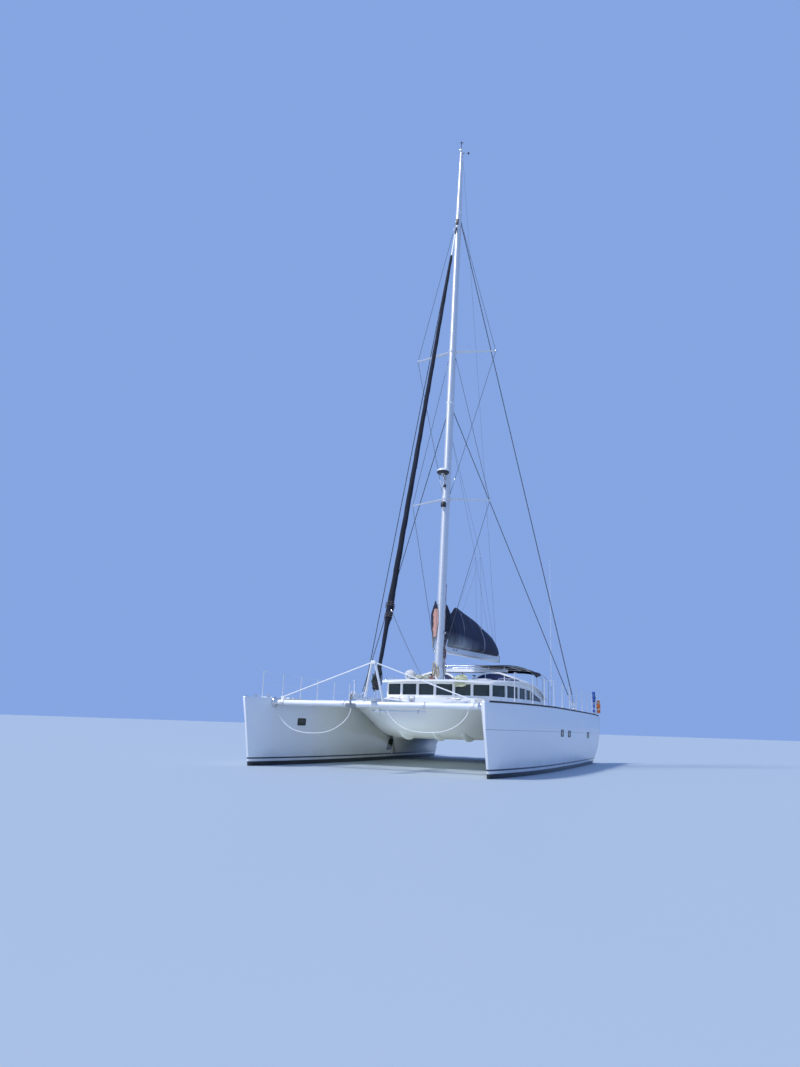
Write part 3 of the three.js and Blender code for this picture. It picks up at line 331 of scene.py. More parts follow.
def make_rope(name, color, fleck, strands=3, pitch=0.045):
    """Laid rope with painted shade in the grooves between its strands; the strand attribute holds the
    distance along and the direction round
    """
    rope = Finish(name, color, 0.85, Sheen_Weight=0.2)
    strand = rope.node("ShaderNodeAttribute", attribute_name="strand").outputs["Vector"]
    along, cosine, sine = rope.node("ShaderNodeSeparateXYZ", strand).outputs
    angle = rope.math("ARCTAN2", sine, cosine)
    turn = rope.math("MULTIPLY_ADD", along, 2 * pi / pitch, rope.math("MULTIPLY", angle, float(strands)))
    lay = rope.math("MULTIPLY_ADD", rope.math("SINE", turn), 0.5, 0.5)
    groove_and_shade = rope.math("POWER", lay, 0.5)
    # Grooves between the strands painted darker: painted shade; the same values also drive the bump
    rope.tint(rope.span(groove_and_shade, 0.0, 0.5, 0.7, 0.0), tuple(c * 0.35 for c in color))
    other = rope.math("MULTIPLY_ADD", along, 2 * pi / (pitch * 2.5), angle)
    rope.tint(rope.span(rope.math("SINE", other), 0.6, 0.8, 0.0, 0.8), fleck)
    rope.bump(groove_and_shade, 0.003, 0.8)
    return rope.material


def make_net():
    webbing = Finish("net_cord", (0.035, 0.038, 0.042), 0.9, Sheen_Weight=0.2)
    webbing.tint(webbing.span(webbing.noise(2.0, 4.0), 0.4, 0.8, 0.0, 0.6), (0.10, 0.105, 0.11))
    webbing.bump(webbing.wave(webbing.math("ADD", webbing.x, webbing.y), 0.004), 0.0008, 0.6)
    return webbing.material


def make_teak():
    wood = Finish("teak", paint().teak, 0.6)
    grain = wood.noise(9.0, 8.0, wood.stretched(14.0, 1.0, 14.0))
    wood.tint(wood.span(grain, 0.35, 0.75, 0.0, 0.8), (0.44, 0.29, 0.16))
    wood.tint(wood.span(wood.noise(1.5, 3.0), 0.4, 0.8, 0.0, 0.4), (0.36, 0.30, 0.24))
    seam = wood.span(wood.wave(wood.x, 0.06), 0.97, 0.99)
    wood.tint(seam, (0.02, 0.02, 0.02))
    wood.bump(grain, 0.001, 0.4)
    wood.bump(wood.math("SUBTRACT", 1.0, seam), 0.002, 0.5)
    return wood.material


def make_plain(name, color, roughness, spots=0.3, coat=0.0):
    body = Finish(name, color, roughness, Coat_Weight=coat)
    body.tint(body.span(body.noise(6.0, 5.0), 0.5, 0.85, 0.0, spots),
              tuple(min(1.0, c * 0.6 + 0.02) for c in color))
    body.rough(body.noise(20.0, 4.0), max(0.03, roughness - 0.08), min(1.0, roughness + 0.12))
    body.bump(body.noise(90.0, 3.0), 0.0006, 0.25)
    return body.material


MAKERS = {
    "gelcoat_hull": make_hull_gelcoat,
    "gelcoat_deck": make_deck_gelcoat,
    "tread": make_tread,
    "bottom": make_bottom,
    "glass": make_glass,
    "screen": make_screen,
    "white": make_white_paint,
    "anodised": lambda: make_metal("anodised", (0.74, 0.745, 0.75), 0.36, 0.55, (6.0, 6.0, 0.25), 0.55, 0.12),
    "stainless": lambda: make_metal("stainless", (0.72, 0.73, 0.74), 0.1, 0.32),
    "galvanised": lambda: make_metal("galvanised", (0.42, 0.43, 0.44), 0.45, 0.7, mottle=0.6),
    "bronze": lambda: make_metal("bronze", (0.50, 0.33, 0.15), 0.3, 0.55, mottle=0.5),
    "engine_paint": lambda: make_metal("engine_paint", (0.30, 0.33, 0.34), 0.4, 0.65, metallic=0.1,
                                       mottle=0.5),
    "canvas": lambda: make_cloth("dark_canvas", paint().shade, (0.010, 0.014, 0.026), sheen=0.02),
    "bag_canvas": make_bag_cloth,
    "sun_strip": lambda: make_cloth("sun_strip", paint().strip, (0.026, 0.032, 0.052), sheen=0.08),
    "sailcloth": lambda: make_cloth("sailcloth", (0.74, 0.75, 0.76), (0.62, 0.63, 0.62), roughness=0.6),
    "salmon": lambda: make_cloth("salmon_cover", (0.50, 0.26, 0.21), (0.60, 0.42, 0.38)),
    "blue_cloth": lambda: make_cloth("blue_cover", (0.03, 0.09, 0.36), (0.06, 0.15, 0.42)),
    "rope_white": lambda: make_rope("rope_white", (0.90, 0.90, 0.86), (0.62, 0.64, 0.66)),
    "rope_yellow": lambda: make_rope("rope_yellow", (0.46, 0.37, 0.22), (0.62, 0.56, 0.44)),
    "rope_green": lambda: make_rope("rope_green", (0.72, 0.75, 0.47), (0.86, 0.88, 0.76)),
    "rope_red": lambda: make_rope("rope_red", (0.34, 0.10, 0.08), (0.62, 0.58, 0.52)),
    "rope_pale": lambda: make_rope("rope_pale", (0.62, 0.64, 0.50), (0.74, 0.76, 0.70)),
    "rope_dark": lambda: make_rope("rope_dark", (0.10, 0.075, 0.085), (0.30, 0.26, 0.28)),
    "rope_brown": lambda: make_rope("rope_brown", (0.22, 0.15, 0.11), (0.45, 0.38, 0.30)),
    "rope_black": lambda: make_rope("rope_black", (0.03, 0.04, 0.035), (0.12, 0.15, 0.12)),
    "wire": lambda: make_rope("stranded_wire", (0.06, 0.065, 0.085), (0.10, 0.105, 0.13), strands=6,
                              pitch=0.12),
    "net": make_net,
    "teak": make_teak,
    "black": lambda: make_plain("black_moulding", (0.02, 0.021, 0.023), 0.45),
    "grey": lambda: make_plain("grey_moulding", (0.22, 0.23, 0.24), 0.5),
    "rubber": lambda: make_plain("dark_rubber", (0.03, 0.03, 0.032), 0.8),
    "white_plastic": lambda: make_plain("white_plastic", (0.80, 0.81, 0.81), 0.3, spots=0.12, coat=0.3),
    "orange": lambda: make_plain("orange_float", (0.75, 0.18, 0.03), 0.6),
    "cream": lambda: make_plain("cream_float", (0.70, 0.62, 0.45), 0.65),
    "clear_lens": lambda: make_plain("clear_lens", (0.62, 0.64, 0.66), 0.08, coat=0.8),
    "leather": lambda: make_plain("wheel_leather", (0.06, 0.055, 0.05), 0.6),
}


@lru_cache(maxsize=None)
def look(name):
    return MAKERS[name]()


def piece(name, bm, looks, body=BOAT, replaces=(), smooth=35.0, outward=False):
    """Makes a finished bmesh an object that rides on a body"""
    if outward:
        bmesh.ops.remove_doubles(bm, verts=bm.verts, dist=WELD)
        bmesh.ops.recalc_face_normals(bm, faces=bm.faces)
    for face in bm.faces:
        face.smooth = True
    for edge in bm.edges:
        edge.smooth = edge.calc_face_angle(0.0) < radians(smooth)
    mesh = bpy.data.meshes.new(name)
    bm.to_mesh(mesh)
    bm.free()
    if "custom_normal" in mesh.attributes:
        mesh.attributes.remove(mesh.attributes["custom_normal"])
    for key in [looks] if isinstance(looks, str) else looks:
        mesh.materials.append(look(key))
    obj = bpy.data.objects.new(name, mesh)
    bpy.context.scene.collection.objects.link(obj)
    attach(obj, body)
    if replaces:
        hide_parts(*([replaces] if isinstance(replaces, str) else replaces))
    return obj


def cad_copy(node):
    """A merged copy of a CAD node's mesh, with its flat triangles joined into faces"""
    bm = bmesh.new()
    bm.from_mesh(frame["nodes"][node].data)
    bmesh.ops.remove_doubles(bm, verts=bm.verts, dist=2 * WELD)
    bmesh.ops.dissolve_limit(bm, angle_limit=radians(FLAT_DEGREES), verts=bm.verts, edges=bm.edges)
    for face in bm.faces:
        face.material_index = 0
    return bm


def soften(bm, width, segments=2, angle=30.0):
    """Rounds the edges that are sharper than an angle"""
    sharp = [e for e in bm.edges if len(e.link_faces) == 2 and e.calc_face_angle(0.0) > radians(angle)]
    if sharp:
        bmesh.ops.bevel(bm, geom=sharp, offset=width, offset_type="OFFSET", affect="EDGES", segments=segments,
                        profile=0.5, clamp_overlap=True, loop_slide=True, material=-1)


@lru_cache(maxsize=None)
def target(node):
    mesh = frame["nodes"][node].data
    return BVHTree.FromPolygons([v.co for v in mesh.vertices], [tuple(p.vertices) for p in mesh.polygons])


def touch(node, start, direction):
    """Point and normal where a ray meets a CAD node"""
    point, normal, _, _ = target(node).ray_cast(Vector(start), Vector(direction).normalized())
    if point is None:
        raise RuntimeError(f"a ray from {tuple(start)} misses {node}")
    return point, normal


def stand(at, normal=UP, heading=(0, 1, 0)):
    """Matrix with local Z along the normal and local Y near the heading"""
    z = Vector(normal).normalized()
    x = Vector(heading).cross(z).normalized()
    y = z.cross(x)
    return Matrix.Translation(Vector(at)) @ Matrix((x, y, z)).transposed().to_4x4()


def offset(x, y, z):
    return Matrix.Translation((x, y, z))


def moved(bm, verts, matrix):
    bmesh.ops.transform(bm, matrix=matrix, verts=verts)
    return verts


def block(bm, size, matrix, round_by, segments=2, mat=0):
    """Box centred on its matrix, with rounded edges"""
    made = bmesh.ops.create_cube(bm, size=1.0, matrix=Matrix.Diagonal((*size, 1.0)))["verts"]
    edges = {e for v in made for e in v.link_edges}
    out = bmesh.ops.bevel(bm, geom=list(edges), offset=round_by, offset_type="OFFSET", affect="EDGES",
                          segments=segments, profile=0.5, clamp_overlap=True, material=-1)
    made = list({v for f in out["faces"] for v in f.verts} | {v for v in made if v.is_valid})
    for face in {f for v in made for f in v.link_faces}:
        face.material_index = mat
    return moved(bm, made, matrix)


def span_block(bm, low, high, round_by, segments=2, mat=0):
    """Box between two corners, with rounded edges"""
    low, high = Vector(low), Vector(high)
    return block(bm, high - low, Matrix.Translation((low + high) / 2), round_by, segments, mat)


def skin(bm, rings, mat=0, caps=True):
    """Bends a grid through closed loops of points, row by row, and closes both ends"""
    rows, sides = len(rings) - 1, len(rings[0])
    grid = bmesh.ops.create_grid(bm, x_segments=sides, y_segments=rows, size=0.5)["verts"]
    grid.sort(key=lambda v: (round((v.co.y + 0.5) * rows), v.co.x))
    made, weld = [], {}
    for i, vert in enumerate(grid):
        row, column = divmod(i, sides + 1)
        if column == sides:
            weld[vert] = made[row * sides]
        else:
            vert.co = rings[row][column]
            made.append(vert)
    bmesh.ops.weld_verts(bm, targetmap=weld)
    for ring in (made[:sides], made[-sides:]) if caps else ():
        ends = set(ring)
        edges = {e for v in ring for e in v.link_edges if e.other_vert(v) in ends}
        bmesh.ops.contextual_create(bm, geom=list(edges), mat_nr=mat)
    for face in {f for v in made for f in v.link_faces}:
        face.material_index = mat
    return made


def circle(sides):
    """Cosine and sine of equal steps round a circle"""
    return [(cos(a), sin(a)) for a in (2 * pi * k / sides for k in range(sides))]


def pipe(bm, points, radius, sides, mat=0, caps=True, radii=None):
    """Round tube through points, mitred at each bend, with its strand attribute for laid rope"""
    points = [Vector(p) for p in points]
    runs = [(b - a).normalized() for a, b in zip(points, points[1:])]
    across = UP.cross(runs[0])
    if across.length < 0.1:
        across = Vector((1, 0, 0))
    across.normalize()
    rings, marks, gone = [], [], 0.0
    for i, point in enumerate(points):
        before, after = runs[max(i - 1, 0)], runs[min(i, len(runs) - 1)]
        mitre = (before + after).normalized()
        up = before.cross(across)
        size = radii[i] if radii else radius
        gone += (point - points[i - 1]).length if i else 0.0
        ring = []
        for c, s in circle(sides):
            q = across * (c * size) + up * (s * size)
            ring.append(point + q - before * (q.dot(mitre) / before.dot(mitre)))
            marks.append((gone, c, s))
        rings.append(ring)
        across = before.rotation_difference(after) @ across
    layer = bm.verts.layers.float_vector.get("strand") or bm.verts.layers.float_vector.new("strand")
    made = skin(bm, rings, mat, caps)
    for vert, mark in zip(made, marks):
        vert[layer] = mark
    return made


def curve(points, steps):
    """Smooth line through points: a centripetal Catmull-Rom spline"""
    points = [Vector(p) for p in points]
    line = [points[0] * 2 - points[1], *points, points[-1] * 2 - points[-2]]
    out = []
    for a, b, c, d in zip(line, line[1:], line[2:], line[3:]):
        t1 = (b - a).length ** 0.5
        t2 = t1 + (c - b).length ** 0.5
        t3 = t2 + (d - c).length ** 0.5
        for k in range(steps):
            t = t1 + (t2 - t1) * k / steps
            a1 = a.lerp(b, t / t1)
            a2 = b.lerp(c, (t - t1) / (t2 - t1))
            a3 = c.lerp(d, (t - t2) / (t3 - t2))
            out.append(a1.lerp(a2, t / t2).lerp(a2.lerp(a3, (t - t1) / (t3 - t1)), (t - t1) / (t2 - t1)))
    return out + [points[-1]]


def island(seed):
    """Every vertex joined to the given ones"""
    whole, fresh = set(), set(seed)
    while fresh:
        whole |= fresh
        fresh = {e.other_vert(v) for v in fresh for e in v.link_edges} - whole
    return whole


def turned(bm, profile, matrix, steps, mat=0):
    """Spins a profile of (radius, height) points about local Z"""
    verts = [bm.verts.new((r, 0.0, z)) for r, z in profile]
    edges = [bm.edges.new(pair) for pair in zip(verts, verts[1:])]
    bmesh.ops.spin(bm, geom=verts + edges, axis=UP, cent=(0, 0, 0), angle=2 * pi, steps=steps, use_merge=True)
    made = list(island(verts))
    bmesh.ops.remove_doubles(bm, verts=made, dist=WELD)
    made = [v for v in made if v.is_valid]
    faces = list({f for v in made for f in v.link_faces})
    bmesh.ops.recalc_face_normals(bm, faces=faces)
    for face in faces:
        face.material_index = mat
    return moved(bm, made, matrix)


def round_box(wide, long, corner):
    """Outline of a rectangle with round corners"""
    x, y = wide / 2 - corner, long / 2 - corner
    out = []
    for k, (cx, cy) in enumerate(((x, y), (-x, y), (-x, -y), (x, -y))):
        for i in range(CORNER_STEPS + 1):
            a = (k + i / CORNER_STEPS) * pi / 2
            out.append((cx + corner * cos(a), cy + corner * sin(a)))
    return out


def lid(bm, matrix, size, corner, rim, sink, mats=(0, 1), dome=0.0, below=0.02):
    """Rounded plate standing on its matrix, with a rim round a sunk pane; size is (x, y, height)"""
    wide, long, tall = size
    edge = min(tall, rim) * 0.35
    frame_levels = [(0.0, -below), (0.0, tall - edge), (edge * 0.3, tall - edge * 0.3), (edge, tall),
                    (rim, tall)]
    pane_levels = [(rim + edge * 0.4, tall - sink)]
    if dome:
        across = min(wide, long)
        pane_levels.append((rim + across * 0.1, tall - sink + dome * 0.7))
        pane_levels.append((rim + across * 0.25, tall - sink + dome))
    rings = [[Vector((x, y, z)) for x, y in round_box(wide - 2 * d, long - 2 * d, max(corner - d, 0.004))]
             for d, z in frame_levels + pane_levels]
    made = skin(bm, rings, mats[0])
    pane = set(made[len(rings[0]) * len(frame_levels):])
    for face in {f for v in pane for f in v.link_faces}:
        if all(v in pane for v in face.verts):
            face.material_index = mats[1]
    return moved(bm, made, matrix)


def rail(bm, points, section, mat=0):
    """Sweeps an upright section of (across, up) offsets along points"""
    points = [Vector(p) for p in points]
    rings = []
    for i, point in enumerate(points):
        run = points[min(i + 1, len(points) - 1)] - points[max(i - 1, 0)]
        across = run.cross(UP).normalized()
        rings.append([point + across * a + UP * b for a, b in section])
    return skin(bm, rings, mat)


def sleeve(inner, outer, half):
    """Profile of a plain ring, for turned"""
    return [(inner, -half), (outer, -half), (outer, half), (inner, half)]


def ball(bm, at, radius, mat=0, steps=12):
    rows = 6
    bows = [(radius * sin(a), -radius * cos(a)) for a in (pi * k / rows for k in range(1, rows))]
    return turned(bm, [(0.0, -radius), *bows, (0.0, radius)], Matrix.Translation(Vector(at)), steps, mat)


def tread_pads(bm, test, margin):
    """Insets the faces whose face and middle pass a test and gives them the second look"""
    faces = [f for f in bm.faces if test(f, f.calc_center_median())]
    if faces:
        bmesh.ops.inset_region(bm, faces=faces, thickness=margin, use_even_offset=True, use_boundary=True)
        for face in faces:
            face.material_index = 1


def between(rows, value):
    """Straight-line value between (place, value) rows"""
    for (a, p), (b, q) in zip(rows, rows[1:]):
        if value <= b:
            return p + (q - p) * max(0.0, (value - a) / (b - a))
    return rows[-1][1]


DECK_HALF = ((-8.53, 0.035), (-7.8, 0.30), (-6.62, 0.53), (-4.88, 0.71), (-2.52, 0.80), (0.4, 0.825),
             (3.2, 0.825), (6.3, 0.815), (7.45, 0.80), (8.65, 0.78))


def deck_half(y):
    """Half width of a hull's deck outboard of its middle line"""
    return between(DECK_HALF, y)


def on_top(node, x, y):
    """Point and normal where a plumb line meets a node"""
    return touch(node, (x, y, PLUMB_FROM), (0, 0, -1))


def on_roof(x, y):
    return on_top("cabin_roof", x, y)


def roof_point(x, y, up=0.0):
    """Point at a height over the cabin roof"""
    return on_roof(x, y)[0] + UP * up


def cleat(bm, matrix, size):
    """Horn cleat along local Y on two feet"""
    grow = size / 0.3
    foot = [(0.0, -0.01), (0.05 * grow, -0.01), (0.045 * grow, 0.006), (0.018 * grow, 0.02),
            (0.016 * grow, 0.2 * size), (0.0, 0.2 * size)]
    for k in (-0.14, 0.14):
        turned(bm, foot, matrix @ offset(0, k * size, 0), 12)
    half = [(-0.5, 0.012, 0.26), (-0.46, 0.022, 0.25), (-0.25, 0.045, 0.205)]
    rows = [*half, (0.0, 0.055, 0.2), *((-y, r, z) for y, r, z in reversed(half))]
    rings = [[Vector((c * r * size * 1.3, y * size, (z + s * r) * size)) for c, s in circle(10)]
             for y, r, z in rows]
    moved(bm, skin(bm, rings), matrix)


def winch(bm, matrix, radius, mats):
    """Two-speed winch: base, waisted drum and self-tailing crown"""
    base = [(0.0, -0.01), (1.15, -0.01), (1.2, 0.02), (1.05, 0.035), (0.0, 0.035)]
    drum = [(0.0, 0.03), (1.0, 0.03), (0.86, 0.06), (0.8, 0.1), (0.84, 0.14), (0.95, 0.155), (0.98, 0.165),
            (0.8, 0.17), (0.0, 0.17)]
    crown = [(0.0, 0.168), (0.98, 0.178), (1.0, 0.19), (0.6, 0.2), (0.2, 0.203), (0.18, 0.18), (0.0, 0.18)]
    for profile, mat in ((base, mats[1]), (drum, mats[0]), (crown, mats[1])):
        turned(bm, [(r * radius, z) for r, z in profile], matrix, 24, mat)


def link(thing):
    bpy.context.scene.collection.objects.link(thing)


def add_floor():
    bm = bmesh.new()
    bmesh.ops.create_grid(bm, x_segments=1, y_segments=1, size=900.0)
    mesh = bpy.data.meshes.new("floor")
    bm.to_mesh(mesh)
    bm.free()
    floor = bpy.data.objects.new("floor", mesh)
    ground = Finish("studio_floor", (0.40, 0.47, 0.53), 0.55)
    ground.rough(ground.noise(0.05, 2.0), 0.5, 0.6)
    mesh.materials.append(ground.material)
    link(floor)


def add_camera(view):
    yaw, pitch, roll = (radians(a) for a in (view.yaw, view.pitch, view.roll))
    ahead = Vector((-sin(yaw) * cos(pitch), cos(yaw) * cos(pitch), sin(pitch)))
    level = ahead.cross(UP).normalized()
    over = level.cross(ahead)
    right = level * cos(roll) + over * sin(roll)
    top = over * cos(roll) - level * sin(roll)
    data = bpy.data.cameras.new("camera")
    data.lens = view.lens
    data.sensor_width = 36.0
    data.clip_start = 0.1
    data.clip_end = 3000.0
    camera = bpy.data.objects.new("camera", data)
    turn = Matrix((right, top, -ahead)).transposed().to_4x4()
    camera.matrix_world = Matrix.Translation(Vector(view.place)) @ turn
    link(camera)
    bpy.context.scene.camera = camera


def add_sun(name, toward, strength, width, tint):
    lamp = bpy.data.lights.new(name, "SUN")
    lamp.energy = strength
    lamp.angle = radians(width)
    lamp.color = tint
    light = bpy.data.objects.new(name, lamp)
    light.rotation_mode = "QUATERNION"
    light.rotation_quaternion = Vector(toward).to_track_quat("-Z", "Y")
    link(light)


def add_glow(watts):
    """Light that comes up from the floor between the hulls"""
    lamp = bpy.data.lights.new("glow_light", "AREA")
    lamp.shape = "RECTANGLE"
    lamp.size = 4.2
    lamp.size_y = 9.0
    lamp.energy = watts
    lamp.color = (0.90, 1.0, 0.95)
    light = bpy.data.objects.new("glow_light", lamp)
    light.matrix_world = offset(0.0, -2.5, 0.04) @ Matrix.Rotation(pi, 4, "X")
    light.visible_camera = False
    light.visible_glossy = False
    link(light)


def add_sky(strength):
    world = bpy.data.worlds.new("studio")
    bpy.context.scene.world = world
    world.use_nodes = True
    sky = world.node_tree.nodes["Background"]
    sky.inputs["Color"].default_value = (0.31, 0.50, 1.0, 1.0)
    sky.inputs["Strength"].default_value = strength


class StageBuild(bpy.types.Operator):
    """Floor at the waterline, soft light and the camera of the picture"""

    bl_idname = "catamaran.stage"
    bl_label = "Stage"

    def execute(self, context):
        view = context.scene.catamaran_view
        add_floor()
        add_camera(view)
        add_sun("key_light", (0.42, 0.50, -0.80), view.sun, 9.0, (1.0, 0.97, 0.93))
        add_sun("fill_light", (0.1, 0.9, 0.25), view.sun * 0.07, 60.0, (0.85, 0.92, 1.0))
        add_glow(view.glow)
        add_sky(view.sky)
        context.scene.view_settings.view_transform = "Standard"
        return {"FINISHED"}


BRIDLE_R = 0.012
BRIDLE_TOP = BEAM_Z - BEAM_R - 0.026
BRIDLES = {
    "port": [(0.45, BRIDLE_TOP), (0.455, 1.75), (0.5, 1.65), (0.6, 1.53), (0.74, 1.41), (0.92, 1.3),
             (1.14, 1.215),
             (1.4, 1.17), (1.7, 1.155), (2.0, 1.17), (2.26, 1.215), (2.48, 1.3), (2.66, 1.41), (2.8, 1.53),
             (2.9, 1.65), (2.945, 1.75), (2.95, BRIDLE_TOP)],
    "starboard": [(-3.28, BRIDLE_TOP), (-3.275, 1.73), (-3.23, 1.6), (-3.14, 1.45), (-3.01, 1.31),
                  (-2.84, 1.19),
                  (-2.62, 1.095), (-2.35, 1.04), (-2.06, 1.025), (-1.77, 1.04), (-1.5, 1.09), (-1.27, 1.18),
                  (-1.07, 1.3), (-0.91, 1.44), (-0.8, 1.59), (-0.755, 1.73), (-0.75, BRIDLE_TOP)],
}


class RopeBuild(bpy.types.Operator):
    """Slack bridle ropes under the crossbeam"""

    bl_idname = "catamaran.ropes"
    bl_label = "Slack ropes"

    def execute(self, context):
        for side, _ in SIDES:
            line = curve([(x, BEAM_Y, z) for x, z in BRIDLES[side]], 5)
            bm = bmesh.new()
            pipe(bm, line, BRIDLE_R, 10)
            rope = piece(f"slack_bridle_{side}", bm, "rope_white",
                         replaces=f"bridle_rope_{side}")
        return {"FINISHED"}


PORTLIGHTS = ((-1.21, 1.26, 1), (0.14, 1.24, 1), (4.62, 1.21, 1), (-5.77, 1.35, -1))
HATCH_PANE = ((1.30, 0.80), (1.74, 0.80), (1.62, 0.38), (1.08, 0.38))
# Line of the white pipe beside the hatch pane: a painted streak of light on the hull side
HATCH_LIGHT_STREAK = ((1.82, 0.82), (1.71, 0.34), (1.66, 0.2))
HATCH_FROM_X = 0.8
CLEATS = ((-7.45, 0.14, (1, -1)), (-0.25, 0.13, (1,)), (7.6, 0.13, (1,)))
CLEAT_LONG = 0.34
DECK_HATCHES = (-5.6, -3.1, 1.1, 3.3)


def hull_shell(side, node):
    bm = cad_copy(node)
    tread_pads(bm, lambda f, at: f.normal.z > 0.96 and at.z > 2.03 and at.y > -6.7, 0.1)
    tread_pads(bm, lambda f, at: f.normal.z > 0.98 and 0.4 < at.z < 1.75 and at.y > 6.2, 0.05)
    soften(bm, 0.016, 3, 38)
    piece(f"hull_shell_{side}", bm, ("gelcoat_hull", "tread"), replaces=node)


def hull_lights(side, s, node):
    """Portlights, and on the inner side the escape hatch's pane and a white pipe beside it that is a painted
    streak of light
    """
    bm = bmesh.new()
    for y, z, out in PORTLIGHTS:
        at, normal = touch(node, (s * (HULL_X + out * 3), y, z), (-s * out, 0, 0))
        lid(bm, stand(at, normal, UP), (0.47, 0.235, 0.012), 0.05, 0.022, 0.006, dome=0.002)
    corners = [touch(node, (s * HATCH_FROM_X, y, z), (s, 0, 0)) for y, z in HATCH_PANE]
    pane = [[p + n * d for p, n in corners] for d in (-0.03, 0.006, 0.012)]
    middle = sum((p for p in pane[2]), Vector()) / 4
    pane[2] = [p.lerp(middle, 0.03) for p in pane[2]]
    skin(bm, pane, 1)
    # White pipe along the pane's edge: a painted streak of light
    line = [touch(node, (s * HATCH_FROM_X, y, z), (s, 0, 0)) for y, z in HATCH_LIGHT_STREAK]
    pipe(bm, [p + n * 0.004 for p, n in line], 0.022, 8, 2)
    piece(f"hull_lights_{side}", bm, ("black", "glass", "white"), outward=True)


def toe_rail(side, s, node):
    bm = bmesh.new()
    edge = []
    y = -8.3
    while y < 8.2:
        x = s * (HULL_X + deck_half(y) - 0.012)
        edge.append(Vector((x, y, on_top(node, x - s * 0.02, y)[0].z)))
        y += 0.25
    section = [(-0.016, -0.03), (0.016, -0.03), (0.016, 0.012), (0.008, 0.02), (-0.008, 0.02),
               (-0.016, 0.012)]
    rail(bm, edge, section)
    piece(f"toe_rail_{side}", bm, "rubber")


def deck_cleats(side, s, node):
    """Deck cleats, and the socket where the crossbeam meets the hull"""
    bm = bmesh.new()
    for y, inset, lanes in CLEATS:
        for lane in lanes:
            x = s * (HULL_X + lane * max(deck_half(y) - inset, 0.07))
            at, normal = on_top(node, x, y)
            cleat(bm, stand(at, normal), CLEAT_LONG)
    at, _ = touch(node, (0, BEAM_Y, BEAM_Z), (s, 0, 0))
    socket = [(0.087, -0.03), (0.17, -0.03), (0.165, 0.02), (0.12, 0.045), (0.095, 0.12), (0.087, 0.12)]
    turned(bm, socket, stand(at, (-s, 0, 0), UP), 28)
    piece(f"deck_cleats_{side}", bm, "stainless", outward=True)


def deck_hatches(side, s, node):
    bm = bmesh.new()
    for y in DECK_HATCHES:
        at, normal = on_top(node, s * HULL_X, y)
        lid(bm, stand(at, normal), (0.56, 0.56, 0.045), 0.09, 0.045, 0.012, dome=0.012)
        for k in (-0.16, 0.16):
            block(bm, (0.05, 0.06, 0.02), stand(at + Vector((k, -0.285, 0.03)), normal), 0.006, mat=2)
    at, normal = on_top(node, s * (HULL_X - 0.02), -7.0)
    lid(bm, stand(at, normal), (0.42, 0.5, 0.03), 0.07, 0.03, 0.004, (3, 3), dome=0.004)
    looks = ("anodised", "glass", "black", "gelcoat_deck")
    piece(f"deck_hatches_{side}", bm, looks, outward=True)


class HullBuild(bpy.types.Operator):
    """Hulls with deck pads, portlights, escape hatches and deck gear"""

    bl_idname = "catamaran.hulls"
    bl_label = "Hulls"

    def execute(self, context):
        for side, s in SIDES:
            node = f"hull_{side}"
            hull_shell(side, node)
            hull_lights(side, s, node)
            toe_rail(side, s, node)
            deck_cleats(side, s, node)
            deck_hatches(side, s, node)
        return {"FINISHED"}


BREAKERS = ((-0.4, -4.0), (0.68, -3.73), (1.41, -2.8))
BREAKER_STEP = 0.13
BREAKER_DEEP = 0.13
POLE_Y = -7.02


def wave_breakers():
    bm = bmesh.new()
    for x, fore in BREAKERS:
        rings = []
        for k in range(11):
            y = fore + BREAKER_STEP * k
            under = touch("bridge_deck", (x, y, 0.3), (0, 0, 1))[0].z
            deep = BREAKER_DEEP * sin(pi * (k + 0.4) / 10.8) ** 0.7
            section = ((-0.13, 0.05), (-0.03, -deep), (0.03, -deep), (0.13, 0.05))
            rings.append([Vector((x + across, y, under + up)) for across, up in section])
        skin(bm, rings)
    soften(bm, 0.008, 2, 30)
    piece("wave_breakers", bm, ("gelcoat_deck",), outward=True)


def foredeck():
    bm = bmesh.new()
    for _, s in SIDES:
        at, normal = on_top("bridge_deck", s * 1.35, -4.1)
        lid(bm, stand(at, normal), (1.1, 0.75, 0.03), 0.09, 0.05, 0.004, (0, 1), dome=0.003)
        for k in (-0.3, 0.3):
            block(bm, (0.12, 0.035, 0.016), stand(at + Vector((k, -0.33, 0.035)), normal), 0.005, mat=2)
        at, normal = on_top("bridge_deck", s * 1.05, -2.75)
        lid(bm, stand(at, normal), (0.5, 0.5, 0.045), 0.08, 0.045, 0.012, (2, 3), dome=0.01)
    windlass(bm)
    looks = ("gelcoat_deck", "tread", "anodised", "glass", "white_plastic")
    piece("foredeck_gear", bm, looks, outward=True)


def windlass(bm):
    flat = stand(on_top("bridge_deck", 0.0, -4.45)[0])
    block(bm, (0.42, 0.55, 0.03), flat @ offset(0, 0, 0.01), 0.01, mat=2)
    levels = ((0.02, 1.0), (0.17, 1.0), (0.205, 0.93), (0.22, 0.75))
    skin(bm, [[flat @ Vector((x * k, y * k + 0.05, z)) for x, y in round_box(0.3, 0.42, 0.09)]
              for z, k in levels], 4)
    drum = [(0.0, -0.27), (0.075, -0.27), (0.08, -0.25), (0.055, -0.22), (0.055, -0.17), (0.085, -0.16),
            (0.085, 0.16), (0.1, 0.17), (0.1, 0.185), (0.055, 0.2), (0.055, 0.215), (0.1, 0.23), (0.1, 0.25),
            (0.0, 0.25)]
    turned(bm, drum, flat @ offset(0, -0.02, 0.12) @ ALONG_X, 24, 2)


